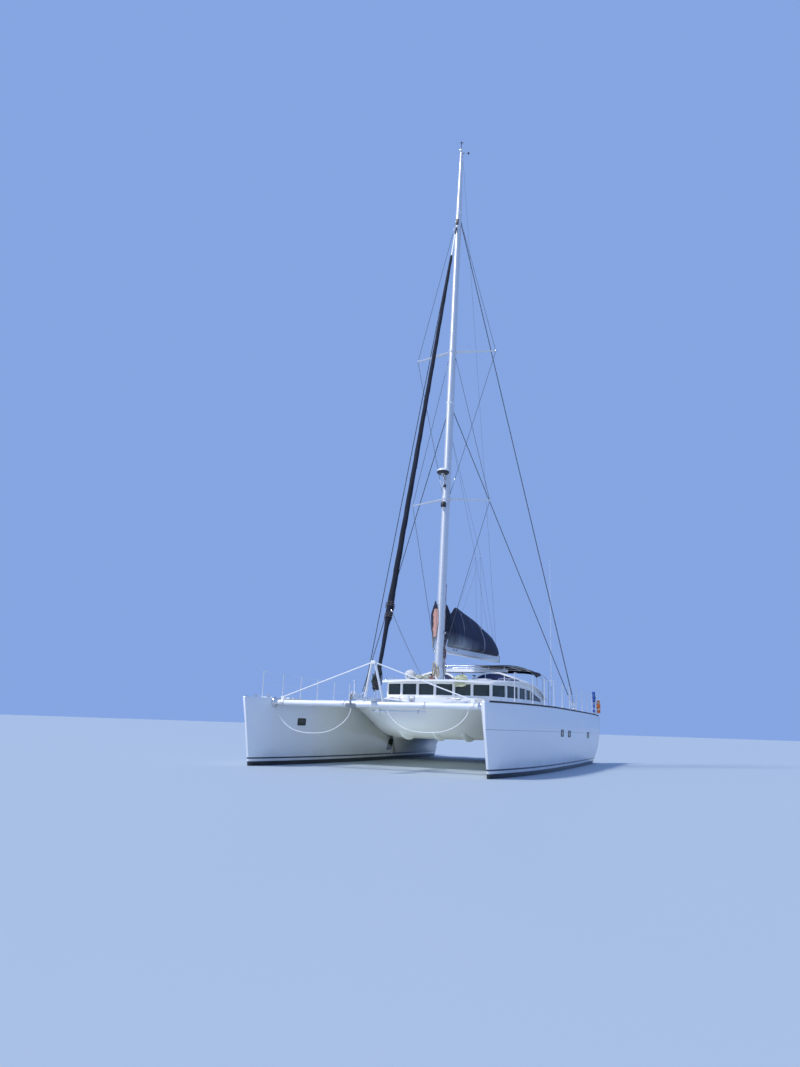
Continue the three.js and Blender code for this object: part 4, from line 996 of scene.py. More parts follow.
def crossbeam():
    bm = cad_copy("front_crossbeam")
    soften(bm, 0.004, 2, 40)
    band = [(0.086, -0.05), (0.1, -0.05), (0.105, -0.04), (0.105, 0.04), (0.1, 0.05), (0.086, 0.05)]
    for x in (-3.1, 3.1, -1.0, 1.6):
        turned(bm, band, offset(x, BEAM_Y, BEAM_Z) @ ALONG_X, 28, 1)
    piece("crossbeam", bm, ("white", "anodised"), replaces="front_crossbeam", outward=True)


def stowed_pole():
    """Pole that hangs behind the crossbeam on two hooks"""
    bm = bmesh.new()
    pipe(bm, [(-0.06, POLE_Y, 1.735), (1.56, POLE_Y, 1.755)], 0.042, 14)
    hook_z = BEAM_Z - BEAM_R + 0.02
    for x in (0.12, 1.35):
        axis_z = 1.735 + (x + 0.06) * 0.0123
        turned(bm, sleeve(0.043, 0.055, 0.02), offset(x, POLE_Y, axis_z) @ ALONG_X, 18, 1)
        pipe(bm, [(x, POLE_Y, 1.79), (x, -7.12, hook_z), (x, -7.2, hook_z)], 0.009, 6, 1)
    pipe(bm, [(-0.11, POLE_Y, 1.734), (-0.06, POLE_Y, 1.735)], 0.03, 14, 1)
    piece("stowed_pole", bm, ("white", "stainless"), outward=True)


def bow_beam_gear():
    """Bow lamp on its post, and the small plates along the bow beam"""
    bm = bmesh.new()
    top = 2.1104
    block(bm, (0.15, 0.16, 0.05), offset(0.0, -8.62, top + 0.07), 0.015)
    for x in (0.048, -0.048):
        block(bm, (0.026, 0.10, 0.13), offset(x, -8.74, top + 0.06), 0.008)
    pipe(bm, [(0.034, -8.78, top), (0.034, -8.78, 2.5)], 0.013, 10)
    lens = [(0.0, 0.0), (0.03, 0.0), (0.032, 0.01), (0.03, 0.055), (0.02, 0.065), (0.0, 0.066)]
    turned(bm, lens, offset(0.034, -8.78, 2.49), 16, 2)
    for y in (-8.5, -8.25, -7.9):
        for x in (-0.084, 0.084):
            block(bm, (0.012, 0.07, 0.07), offset(x, y, 2.06), 0.003, mat=1)
    piece("bow_beam_gear", bm, ("white", "stainless", "clear_lens"), outward=True)


class BridgeBuild(bpy.types.Operator):
    """Bridge deck with its pads, foredeck gear and the details on the two beams"""

    bl_idname = "catamaran.bridge"
    bl_label = "Bridge deck"

    def execute(self, context):
        bm = cad_copy("bridge_deck")
        tread_pads(bm, lambda f, at: f.normal.z > 0.93 and f.calc_area() > 2.0 and at.z > 2.0 and at.y < -1.9,
                   0.12)
        tread_pads(bm, lambda f, at: f.normal.z > 0.99 and at.y > 3.4 and at.z < 2.05, 0.05)
        soften(bm, 0.02, 3, 35)
        piece("bridge_shell", bm, ("gelcoat_deck", "tread"), replaces="bridge_deck")
        foredeck()
        wave_breakers()
        crossbeam()
        stowed_pole()
        bow_beam_gear()
        return {"FINISHED"}


SCREEN_RIM = ((0.40, 3.30), (0.55, 3.44), (0.74, 3.526), (1.06, 3.576), (1.47, 3.568), (1.92, 3.432),
              (2.29, 3.309), (2.62, 3.19))


def tangle(bm, centre, spread, loops, radius, rand, mat):
    """Heap of small loops of rope round a centre"""
    for _ in range(loops):
        axis = (rand.uniform(-1, 1), rand.uniform(-1, 1), rand.uniform(-0.4, 0.4))
        tilt = Quaternion(axis, rand.uniform(0.2, 1.5))
        size = rand.uniform(0.55, 1.0)
        away = Vector([rand.uniform(-0.3, 0.3) for _ in range(3)])
        line = []
        for k in range(15):
            a = 2 * pi * k / 13
            p = tilt @ Vector((cos(a) * size, sin(a) * size, 0.12 * sin(2 * a))) + away
            line.append(Vector(centre) + Vector(c * s for c, s in zip(p * 0.75, spread)))
        pipe(bm, line, radius, 6, mat)


def hanging_coil(bm, top, drop, loops, radius, rand, mat, width, out=(0, 1, 0)):
    """Bound coil that hangs from a hook: long loops and a few wraps round their neck"""
    top, out = Vector(top), Vector(out).normalized()
    side = out.cross(UP)
    for _ in range(loops):
        wide = width * rand.uniform(0.5, 1.0)
        deep = rand.uniform(0.0, 0.05)
        low = drop * rand.uniform(0.85, 1.0)
        shift = rand.uniform(-0.02, 0.02)
        line = []
        for k in range(17):
            a = 2 * pi * k / 16
            down = (1 - cos(a)) / 2
            across = sin(a) * wide * (0.35 + 0.65 * down) + shift
            line.append(top + side * across + out * (0.02 + deep * down) - UP * (low * down))
        pipe(bm, line, radius, 6, mat)
    neck = top - UP * drop * 0.22
    wrap = [neck + side * cos(a) * width * 0.42 + out * (0.035 + sin(a) * 0.04) + UP * (a * radius * 0.36)
            for a in (2 * pi * k / 10 for k in range(41))]
    pipe(bm, wrap, radius, 6, mat)


def helm_screen(side, s):
    node = f"windscreen_{side}"
    bm = cad_copy(node)
    for face in bm.faces:
        middle = face.calc_center_median()
        if abs(face.normal.y) > 0.9 and 2.105 < middle.y < 2.155:
            face.material_index = 1
    soften(bm, 0.008, 2, 30)
    for x in (0.87, 1.66, 2.3):
        top = between(SCREEN_RIM, x) - 0.05
        span_block(bm, (s * x - 0.014, 2.088, 3.12), (s * x + 0.014, 2.112, top), 0.004)
    piece(f"screen_{side}", bm, ("white_plastic", "screen"), replaces=node)


def roof_gear():
    bm = bmesh.new()
    for _, s in SIDES:
        grab_rail(bm, s)
        at, normal = on_roof(s * 1.25, 0.35)
        lid(bm, stand(at, normal), (0.62, 0.62, 0.05), 0.1, 0.05, 0.012, (1, 2), dome=0.014)
        at, normal = on_roof(s * 0.62, 1.45)
        for k in range(5):
            block(bm, (0.035, 0.17, 0.05), stand(at + Vector((s * 0.045 * (k - 2), 0, 0.02)), normal), 0.008,
                  mat=3)
        at, normal = on_roof(s * 0.72, 0.95)
        winch(bm, stand(at, normal), 0.085, (0, 3))
        for x, y in ((0.34, -1.12), (0.54, -1.05)):
            at, normal = on_roof(s * x, y)
            block(bm, (0.03, 0.09, 0.07), stand(at + UP * 0.035, normal), 0.01, mat=3)
    at, normal = on_roof(0.9, -1.15)
    winch(bm, stand(at, normal), 0.1, (3, 3))
    turned(bm, [(0.0, 0.19), (0.02, 0.19), (0.018, 0.27), (0.0, 0.27)], stand(at, normal), 10, 3)
    at, normal = on_roof(-0.92, -1.3)
    winch(bm, stand(at, normal), 0.085, (0, 3))
    piece("roof_gear", bm, ("stainless", "anodised", "glass", "black"), outward=True)


def grab_rail(bm, s):
    feet = [roof_point(s * x, y) for x, y in ((2.2, -1.05), (2.42, -0.2), (2.52, 0.6), (2.58, 1.4))]
    bend = [feet[0] - UP * 0.01, feet[0] + Vector((0, 0.05, 0.06))]
    bend += [p + UP * 0.075 for p in feet[1:-1]]
    bend += [feet[-1] + Vector((0, -0.05, 0.06)), feet[-1] - UP * 0.01]
    pipe(bm, curve(bend, 5), 0.013, 10)
    for p in feet:
        turned(bm, [(0.0, -0.01), (0.035, -0.01), (0.033, 0.006), (0.0, 0.008)], Matrix.Translation(p), 12)
    for p in feet[1:-1]:
        pipe(bm, [p - UP * 0.01, p + UP * 0.075], 0.011, 8)


def roof_ropes():
    rand = Random(catamaran_seed())
    bm = bmesh.new()
    tangle(bm, roof_point(-0.98, -1.62, 0.17), (0.24, 0.22, 0.21), 60, 0.012, rand, 0)
    tangle(bm, roof_point(-0.62, -1.6, 0.08), (0.2, 0.17, 0.11), 26, 0.009, rand, 1)
    tangle(bm, roof_point(-0.32, -1.6, 0.09), (0.18, 0.17, 0.13), 26, 0.009, rand, 1)
    tangle(bm, roof_point(1.0, -1.66, 0.05), (0.3, 0.18, 0.15), 40, 0.01, rand, 2)
    over_edge = roof_point(1.0, -1.66) + Vector((0, -0.12, -0.13))
    tangle(bm, over_edge, (0.28, 0.06, 0.19), 24, 0.01, rand, 2)
    tangle(bm, roof_point(-0.12, -1.62, 0.03), (0.13, 0.11, 0.08), 14, 0.009, rand, 3)
    hanging_coil(bm, (-0.1, -1.51, 3.68), 0.52, 9, 0.009, rand, 4, 0.07, (0, -1, 0))
    hanging_coil(bm, (0.05, -1.525, 3.52), 0.42, 7, 0.009, rand, 4, 0.08, (0, -1, 0))
    looks = ("rope_white", "rope_pale", "rope_green", "rope_red", "rope_yellow")
    piece("roof_ropes", bm, looks, outward=True)


class CabinBuild(bpy.types.Operator):
    """Cabin roof, windscreens, and the gear and ropes kept on the roof"""

    bl_idname = "catamaran.cabin"
    bl_label = "Cabin"

    def execute(self, context):
        bm = cad_copy("cabin_roof")
        soften(bm, 0.03, 4, 28)
        piece("roof_shell", bm, "gelcoat_deck", replaces="cabin_roof")
        for side, s in SIDES:
            helm_screen(side, s)
        roof_gear()
        roof_ropes()
        return {"FINISHED"}


def catamaran_seed():
    return bpy.context.scene.catamaran_view.samples_seed


MAST_STEP_Z = 3.12
MAST_FOOT = Vector((0.0, -1.29, MAST_STEP_Z))
MAST_TOP = Vector((0.0, 0.52, 27.17))
HOUNDS = 23.76
LOWER_HOUNDS = 14.31
LEAN = atan2(MAST_TOP.y - MAST_FOOT.y, MAST_TOP.z - MAST_FOOT.z)
MAST_FRAME = Matrix.Translation(MAST_FOOT) @ Matrix.Rotation(-LEAN, 4, "X")
MAST_LONG = (MAST_TOP - MAST_FOOT).length
HOUNDS_RUN = (HOUNDS - MAST_STEP_Z) / cos(LEAN)
MAST_ROWS = ((-0.15, 1.0), (HOUNDS_RUN * 0.55, 0.98), (HOUNDS_RUN, 0.8), (MAST_LONG, 0.46))
MAST_HALF = (0.15, 0.23)
SPREADERS = ((1.62, -0.20, 10.14), (1.73, 0.22, 16.77))
DIAMONDS = ((3.95, 0, 10.0), (10.35, 1, 8.0), (16.45, 0, 8.0), (23.3, 1, 14.0))
SHROUDS = (("cap_shroud", HOUNDS, (4.5, 1.95), 0.018), ("lower_shroud", LOWER_HOUNDS, (4.5, 1.6), 0.016))
RADAR_Z = 11.15


def mast_y(z):
    """Where the mast's middle line stands at a height"""
    return MAST_FOOT.y + (z - MAST_FOOT.z) * tan(LEAN)


def mast_run(z):
    """Distance up the mast of a height"""
    return (z - MAST_FOOT.z) / cos(LEAN)


def mast_taper(z):
    """Share of the full section that the mast has at a height"""
    return between(MAST_ROWS, mast_run(z))


def on_mast(x, y, z):
    """Matrix on the leaning mast, at offsets from its middle line and a height"""
    return MAST_FRAME @ offset(x, y, mast_run(z))


def mast_point(x, y, z):
    return MAST_FRAME @ Vector((x, y, mast_run(z)))


def mast_face(z, out):
    """Point off the mast's aft face at a height"""
    return mast_point(0.0, MAST_HALF[1] * mast_taper(z) + out, z)


def mast_ring(run, grow=0.0, sides=40):
    """Loop round the mast at a distance up it"""
    size = between(MAST_ROWS, run)
    return [MAST_FRAME @ Vector((c * (MAST_HALF[0] * size + grow), s * (MAST_HALF[1] * size + grow), run))
            for c, s in circle(sides)]


def mast_tube():
    bm = bmesh.new()
    foot = [roof_point(p.x, p.y) for p in mast_ring(0.0)]
    runs = [0.35] + [k * MAST_LONG / 24 for k in range(1, 25)]
    skin(bm, [foot] + [mast_ring(run) for run in runs] + [mast_ring(MAST_LONG + 0.0005, -0.02)])
    boot = [[roof_point(p.x, p.y) for p in mast_ring(0.0, 0.035)]]
    boot += [mast_ring(run, grow) for run, grow in ((0.16, 0.03), (0.2, 0.012), (0.34, 0.008),
                                                    (0.35, -0.002))]
    skin(bm, boot, 1)
    mast_track(bm, [mast_run(5.2)] + [r for r in runs if r > 2.5])
    gooseneck(bm)
    looks = ("anodised", "white_plastic", "stainless")
    piece("mast_tube", bm, looks, replaces="mast", outward=True)


def mast_track(bm, runs):
    section = ((-0.016, -0.004), (0.016, -0.004), (0.016, 0.016), (0.008, 0.022), (-0.008, 0.022),
               (-0.016, 0.016))
    skin(bm, [[MAST_FRAME @ Vector((x, MAST_HALF[1] * between(MAST_ROWS, run) + y, run)) for x, y in section]
              for run in runs], 2)


def gooseneck(bm):
    at = MAST_FRAME.to_3x3().to_4x4()
    at.translation = BOOM_PIN
    turned(bm, sleeve(0.0148, 0.034, 0.06) + [(0.0148, -0.06)], at, 24, 2)
    block(bm, (0.05, 0.21, 0.11), at @ offset(0, -0.135, 0), 0.008, mat=2)


def mast_fittings():
    bm = bmesh.new()
    for s in (-1, 1):
        at = on_mast(s * 0.147, 0.02, 4.45 + s * 0.35) @ Matrix.Rotation(s * pi / 2, 4, "Y")
        winch(bm, at @ Matrix.Diagonal((1, 1, 0.5, 1)), 0.045, (0, 1))
        for z in (5.6, 6.1, 6.6):
            block(bm, (0.012, 0.03, 0.16), on_mast(s * 0.146, 0.03, z), 0.004, mat=1)
        for z in (3.95, 23.3):
            block(bm, (0.04, 0.09, 0.14), on_mast(s * 0.14 * mast_taper(z), 0, z), 0.012)
    block(bm, (0.13, 0.05, 0.3), on_mast(0.0, -0.185, 23.2), 0.02, mat=1)
    for z in (HOUNDS, LOWER_HOUNDS):
        band = ((-0.06, 0.0), (-0.055, 0.005), (0.055, 0.005), (0.06, 0.0))
        skin(bm, [mast_ring(mast_run(z) + up, grow) for up, grow in band], 3)
        for s in (-1, 1):
            block(bm, (0.05, 0.12, 0.1), on_mast(s * 0.13 * mast_taper(z), 0.04, z) @ offset(0, 0, -0.03),
                  0.012)
    radar()
    for z, size in ((10.62, 0.7), (9.82, 1.25)):
        deck_lamp(bm, on_mast(0, -0.2 - 0.08 * size, z) @ Matrix.Scale(size, 4))
    masthead(bm)
    looks = ("stainless", "black", "clear_lens", "white_plastic")
    piece("mast_fittings", bm, looks, outward=True)


def deck_lamp(bm, lamp):
    """Lamp that shines down from the mast's fore face"""
    hood = [(0.0, -0.1), (0.07, -0.1), (0.085, -0.06), (0.085, 0.04), (0.06, 0.09), (0.0, 0.09)]
    turned(bm, hood, lamp, 18, 1)
    turned(bm, [(0.0, -0.115), (0.06, -0.115), (0.066, -0.1), (0.0, -0.1)], lamp, 18, 2)
    block(bm, (0.06, 0.1, 0.05), lamp @ offset(0, 0.07, 0.0), 0.01, mat=1)


def masthead(bm):
    """Masthead lamp, vane and three-cup wind sensor"""
    top = MAST_FRAME @ offset(0, 0, MAST_LONG)
    lamp = [(0.0, 0.046), (0.045, 0.046), (0.048, 0.06), (0.045, 0.13), (0.03, 0.15), (0.0, 0.152)]
    turned(bm, lamp, top @ offset(0, 0.08, 0), 18, 3)
    turned(bm, [(0.0, 0.0), (0.03, 0.0), (0.026, 0.02), (0.0, 0.05)], top @ offset(0, 0.33, 0.23), 12, 1)
    pipe(bm, [top @ Vector((0, -0.06, 0.0)), top @ Vector((0, -0.06, 0.48))], 0.013, 8, 1)
    ball(bm, top @ Vector((0, -0.06, 0.5)), 0.045, 1)
    pipe(bm, [top @ Vector((-0.42, 0.0, -0.14)), top @ Vector((0.3, 0.0, -0.14))], 0.009, 8)
    ball(bm, top @ Vector((0.33, 0.0, -0.14)), 0.05, 1)
    for degrees in (0, 120, 240):
        arm = top @ offset(0, -0.06, 0.49) @ Matrix.Rotation(radians(degrees), 4, "Z")
        pipe(bm, [arm @ Vector((0, 0, -0.02)), arm @ Vector((0.07, 0, -0.02))], 0.003, 6)
        ball(bm, arm @ Vector((0.08, 0, -0.02)), 0.016, 1, steps=8)


def radar():
    z = RADAR_Z
    y = mast_y(z) - 0.52
    bm = bmesh.new()
    # Lower half of the dome in the black look: painted shade of its underside
    painted_shade_pan = [(0.0, -0.088), (0.15, -0.088), (0.2, -0.084), (0.232, -0.06), (0.245, -0.03), (0.247, 0.006),
           (0.0, 0.006)]
    dome = [(0.0, 0.008), (0.243, 0.008), (0.249, 0.016), (0.246, 0.045), (0.228, 0.082), (0.19, 0.108),
            (0.12, 0.124), (0.0, 0.13)]
    turned(bm, painted_shade_pan, offset(0, y, z), 40, 2)
    turned(bm, dome, offset(0, y, z), 40)
    for x in (-0.05, 0.05):
        span_block(bm, (x - 0.006, y - 0.1, z - 0.128), (x + 0.006, mast_y(z) - 0.20, z - 0.088), 0.003, 2, 1)
        pipe(bm, [(x, y + 0.1, z - 0.12), (x, mast_y(z - 0.35) - 0.215, z - 0.35)], 0.009, 8, 1)
    span_block(bm, (-0.056, y - 0.1, z - 0.094), (0.056, y + 0.15, z - 0.088), 0.002, 2, 1)
    cable = [(0, y + 0.05, z - 0.09), (0, y + 0.12, z - 0.16), (0, mast_y(z - 0.25) - 0.21, z - 0.25)]
    pipe(bm, curve(cable, 5), 0.008, 8, 2)
    looks = ("white_plastic", "anodised", "black")
    piece("radar_fine", bm, looks, replaces="radar_dome", outward=True)


def mast_wires(side, s):
    diamonds(side, s)
    for name, top, (x, y), radius in SHROUDS:
        foot = Vector((s * x, y, DECK_Z + 0.03))
        high = Vector((0, mast_y(top), top))
        shroud(f"{name}_wire_{side}", f"{name}_{side}", f"hull_{side}", foot, high, radius, 1 - 0.11 / x)


def diamonds(side, s):
    """Crossed wires between the mast and the spreader tips, with their turnbuckles"""
    tips = [Vector((s * (x + 0.013), y, z)) for x, y, z in SPREADERS]
    bm = bmesh.new()
    buckle = [(0.0, 0.0), (0.016, 0.0), (0.02, 0.04), (0.02, 0.3), (0.014, 0.36), (0.0, 0.36)]
    for z, tip, far in DIAMONDS:
        start = mast_point(s * (MAST_HALF[0] * mast_taper(z) + 0.004), 0.0, z)
        pipe(bm, [start, tips[tip]], 0.009, 8)
        turned(bm, buckle, stand(start.lerp(tips[tip], 0.4 / far), tips[tip] - start), 12, 1)
    cap = [(0.0, -0.045), (0.022, -0.045), (0.03, -0.02), (0.03, 0.02), (0.022, 0.045), (0.0, 0.045)]
    for at in tips:
        turned(bm, cap, Matrix.Translation(at), 12, 1)
    piece(f"diamond_wire_{side}", bm, ("wire", "stainless"), replaces=f"diamond_stay_{side}")


def shroud(name, node, hull, foot, high, radius, share):
    """Wire from the deck to the mast, with its turnbuckle, toggle and chainplate"""
    bm = bmesh.new()
    run = (high - foot).normalized()
    reach = (high - foot).length * share
    pipe(bm, [foot + run * 0.5, foot + run * reach], radius, 8)
    at = stand(foot, run)
    buckle = [(0.0, 0.10), (0.016, 0.10), (0.02, 0.14), (0.02, 0.2), (0.03, 0.22), (0.03, 0.42),
              (0.022, 0.44), (0.02, 0.56), (0.015, 0.6), (0.0, 0.6)]
    turned(bm, buckle, at, 14, 1)
    for x in (-0.018, 0.018):
        block(bm, (0.01, 0.05, 0.14), at @ offset(x, 0, 0.085), 0.004, mat=1)
    turned(bm, sleeve(0.0, 0.012, 0.03), at @ offset(0, 0, 0.06) @ ALONG_X, 12, 1)
    deck = on_top(hull, foot.x, foot.y)[0]
    block(bm, (0.014, 0.06, 0.12), Matrix.Translation(deck + UP * 0.04), 0.004, mat=1)
    block(bm, (0.07, 0.14, 0.014), Matrix.Translation(deck + UP * 0.004), 0.004, mat=1)
    piece(name, bm, ("wire", "stainless"), replaces=node, outward=True)


def halyards():
    rand = Random(catamaran_seed() + 1)
    bm = bmesh.new()
    for k in range(7):
        x = -0.09 + 0.03 * k
        foot = roof_point(x * 1.7, -0.93 + 0.012 * (k % 3), 0.03)
        line = [foot, mast_face(3.45, 0.045) + Vector((x, 0, 0))]
        for z in (3.8, 4.05):
            aside = x * 0.9 + rand.uniform(-0.006, 0.006)
            line.append(mast_face(z, 0.03 + 0.008 * (k % 2)) + Vector((aside, 0, 0)))
        pipe(bm, curve(line, 4), 0.008, 6, k % 3)
    for k, z in enumerate((4.0, 3.86, 3.7)):
        hanging_coil(bm, mast_face(z, 0.05) + Vector(((k - 1) * 0.1, 0, 0)), 0.55, 6, 0.009, rand, k % 3,
                     0.07)
    for y, z, drop, mat in ((0.12, 4.62, 0.75, 0), (0.07, 4.3, 0.8, 1), (0.12, 4.02, 0.75, 3),
                            (0.07, 3.85, 0.6, 2)):
        at = mast_point(0.145, y, z)
        hanging_coil(bm, at, drop, 7, 0.009, rand, mat, 0.075, (1, 0.5, 0))
        block(bm, (0.03, 0.03, 0.03), Matrix.Translation(at), 0.006, mat=3)
    for s, high in ((-1, 6.2), (1, 6.7)):
        line = [mast_point(s * (MAST_HALF[0] * mast_taper(z) + 0.012), 0.05, z) for z in (4.7, high)]
        pipe(bm, line, 0.007, 6, 1)
    looks = ("rope_dark", "rope_red", "rope_white", "rope_brown")
    piece("mast_ropes", bm, looks, outward=True)


class MastBuild(bpy.types.Operator):
    """Mast with its track and fittings, and the standing wires"""

    bl_idname = "catamaran.mast"
    bl_label = "Mast"

    def execute(self, context):
        mast_tube()
        mast_fittings()
        for side, s in SIDES:
            mast_wires(side, s)
        halyards()
        return {"FINISHED"}


STAY_FOOT = Vector((0.0, -7.256, 2.11065))
STAY_TOP = Vector((0.0, 0.263, HOUNDS))
GENOA = ((2.76, 0.042), (3.3, 0.060), (4.3, 0.071), (4.62, 0.10), (4.85, 0.122), (5.25, 0.108), (5.9, 0.095),
         (9.0, 0.09), (15.0, 0.08), (20.8, 0.058), (21.1, 0.04))
GENOA_LOW = GENOA[0][0]
GENOA_HIGH = GENOA[-1][0]
GENOA_SIDES = 22


def on_stay(z, around=None, radius=0.0):
    """Point on the stay at a height, or at an angle and a distance from it"""
    point = STAY_FOOT.lerp(STAY_TOP, (z - STAY_FOOT.z) / (HOUNDS - STAY_FOOT.z))
    if around is None:
        return point
    section = stand(point, STAY_TOP - STAY_FOOT, (0, 1, 0))
    return section @ Vector((cos(around) * radius, sin(around) * radius, 0))


def genoa(bm):
    """The rolled sail, lumpier round its clew"""
    rows = []
    z = GENOA_LOW
    while z < GENOA_HIGH:
        rows.append(z)
        z += 0.055 if 4.3 < z < 5.6 else 0.13
    rings = []
    for z in rows + [GENOA_HIGH]:
        base = between(GENOA, z)
        ring = []
        lump = 0.16 if 4.4 < z < 5.5 else 0.05
        for k in range(GENOA_SIDES):
            a = 2 * pi * k / GENOA_SIDES
            phase = (a / (2 * pi) + z / 1.15) % 1.0
            crease = noise.noise(Vector((cos(a) * 1.6, sin(a) * 1.6, z * 2.2)))
            ring.append(on_stay(z, a, base * (1.05 - 0.13 * phase + lump * crease)))
        rings.append(ring)
    skin(bm, rings)


def stay_fitting(bm, profile, mat, steps=24):
    """Spins a profile of (radius, height) points about the stay"""
    base = on_stay(profile[0][1])
    rows = [(r, (on_stay(z) - base).length) for r, z in profile]
    turned(bm, rows, stand(base, STAY_TOP - STAY_FOOT), steps, mat)


def furler(bm):
    """Swivel at the top, and the drum with its wraps of line at the foot"""
    pipe(bm, [on_stay(21.05), on_stay(22.42)], 0.042, 14, 5)
    swivel = [(0.0, 22.4), (0.036, 22.4), (0.042, 22.45), (0.042, 22.58), (0.034, 22.6), (0.034, 22.66),
              (0.042, 22.68), (0.042, 22.82), (0.03, 22.87), (0.0, 22.87)]
    stay_fitting(bm, swivel, 2)
    pipe(bm, [on_stay(22.85), on_stay(23.71)], 0.011, 8, 3)
    stay_fitting(bm, [(0.0, 2.112), (0.022, 2.112), (0.022, 2.37), (0.0, 2.37)], 3, 16)
    drum = [(0.0, 2.37), (0.05, 2.37), (0.055, 2.385), (0.112, 2.395), (0.112, 2.415), (0.07, 2.43),
            (0.066, 2.52), (0.07, 2.60), (0.112, 2.612), (0.112, 2.63), (0.06, 2.64), (0.042, 2.68),
            (0.042, 2.78), (0.0, 2.78)]
    stay_fitting(bm, drum, 2)
    wraps = [on_stay(2.435 + 0.155 * min(1, k / 90), 2 * pi * k / 14, 0.078 + 0.01 * (k % 28 > 14))
             for k in range(1, 100)]
    pipe(bm, wraps, 0.008, 6, 4)
    block(bm, (0.02, 0.09, 0.11), stand(on_stay(2.71), STAY_TOP - STAY_FOOT), 0.006, mat=3)


def genoa_lines():
    bm = bmesh.new()
    rand = Random(catamaran_seed() + 2)
    for start in (4.62, 4.98):
        wrap = [on_stay(start + 0.06 * k / 14, 2 * pi * k / 14, between(GENOA, start) * 1.12 + 0.012)
                for k in range(42)]
        pipe(bm, wrap, 0.011, 6)
    clew = on_stay(4.86, -0.6, 0.13)
    block(bm, (0.05, 0.09, 0.07), stand(clew, (0.3, 1, -0.4)), 0.015, mat=1)
    lead = roof_point(-0.52, -1.68, 0.1)
    line = [clew.lerp(lead, k / 8) - UP * (0.05 * sin(pi * k / 8)) for k in range(9)]
    pipe(bm, line, 0.009, 6)
    tangle(bm, on_stay(2.92), (0.13, 0.12, 0.26), 26, 0.011, rand, 2)
    tangle(bm, on_stay(2.62) + Vector((-0.07, 0.0, 0.0)), (0.13, 0.12, 0.28), 26, 0.011, rand, 2)
    tangle(bm, on_stay(3.05), (0.1, 0.1, 0.2), 8, 0.011, rand, 0)
    for k in range(3):
        top = on_stay(2.98 - 0.1 * k, 2.0 * k, 0.085)
        hanging_coil(bm, top, 0.5, 6, 0.009, rand, 2, 0.07, (0.3 * (k - 1), -1, 0))
    piece("genoa_sheet", bm, ("rope_dark", "stainless", "rope_black"))


class ForestayBuild(bpy.types.Operator):
    """Forestay with its furling drum, the rolled genoa and the sheet from its clew"""

    bl_idname = "catamaran.forestay"
    bl_label = "Forestay and genoa"

    def execute(self, context):
        bm = bmesh.new()
        genoa(bm)
        furler(bm)
        looks = ("sun_strip", "anodised", "black", "stainless", "rope_dark", "white")
        piece("forestay_genoa", bm, looks, replaces="furled_forestay", smooth=50)
        genoa_lines()
        return {"FINISHED"}


BOOM_PIN = Vector((0.0, -0.9, 4.22))
BOOM_END = Vector((0.0, 7.29, 4.55))
BAG_ROWS = curve([(-0.62, 5.84, 0.10), (-0.5, 5.97, 0.17), (-0.3, 5.90, 0.22), (-0.05, 5.68, 0.25),
                  (0.2, 5.76, 0.27), (0.6, 6.0, 0.285), (1.84, 5.94, 0.29), (3.36, 5.83, 0.285),
                  (5.01, 5.61, 0.265), (6.34, 5.42, 0.23), (6.78, 5.22, 0.20), (6.95, 4.98, 0.16),
                  (6.99, 4.74, 0.12)], 6)
BAG_SIDE = curve([(0.5, 0.0, 0), (0.93, 0.06, 0), (1.0, 0.17, 0), (0.97, 0.33, 0), (0.85, 0.5, 0),
                  (0.64, 0.68, 0), (0.38, 0.85, 0), (0.16, 0.95, 0), (0.04, 1.0, 0)], 2)
STRAPS = (1.12, 2.7, 4.15, 5.6)
PALE_STRAP = 4.15
JACK_FEET = (1.12, 4.15, 6.2)
JACK_TOP = 13.0
JACK_SPLIT = Vector((0.12, 3.9, 8.8))
LIFT_TOP = 26.88
FLAP_ROWS = ((4.15, -0.2, -0.17), (4.6, -0.26, -0.07), (5.1, -0.31, -0.02), (5.45, -0.345, -0.03),
             (5.6, -0.32, -0.05), (5.8, -0.23, -0.08), (5.97, -0.18, -0.14))


def boom_z(y):
    """Height of the boom's middle line at a place along it"""
    return between(((BOOM_PIN.y, BOOM_PIN.z), (BOOM_END.y, BOOM_END.z)), y)


def bag_floor(y):
    """Height of the bag's lower edge at a place along the boom"""
    return boom_z(y) + 0.13


def swing_axis(z):
    """Point on the line that the boom swings about"""
    return Vector((0.0, BOOM_PIN.y + (z - BOOM_PIN.z) * tan(LEAN), z))


def bag_ring(row, grow=0.0):
    """Closed loop round the sail bag at a (y, top, half width) row, with its folds"""
    y, top, half = row
    low = bag_floor(y)
    luff = max(0.0, min(1.0, (0.7 - y) / 0.9))
    half *= 1 - sum(0.08 * exp(-(((y - strap) / 0.09) ** 2)) for strap in STRAPS)
    ring = []
    for s, rows in ((1, BAG_SIDE), (-1, BAG_SIDE[::-1])):
        for q in rows:
            z = low + q.y * (top + grow - low)
            fold = sin(y * 17 + z * 1.3 + s) * 0.035 * luff
            fold += noise.noise(Vector((y * 1.5 + z * 1.1, z * 0.5, s * 3.0))) * (0.045 + 0.03 * luff)
            fold += noise.noise(Vector((y * 5.0, z * 1.6 + y, s * 7.0))) * 0.014
            ring.append(Vector((s * max(0.01, half * q.x + fold * sin(pi * q.y) ** 0.5 + grow), y, z)))
    return ring


def bag_row(y):
    """The bag's (y, top, half width) at a place along the boom"""
    for a, b in zip(BAG_ROWS, BAG_ROWS[1:]):
        if a.x <= y <= b.x:
            return a.lerp(b, (y - a.x) / (b.x - a.x))
    raise RuntimeError(f"the bag has no row at {y}")


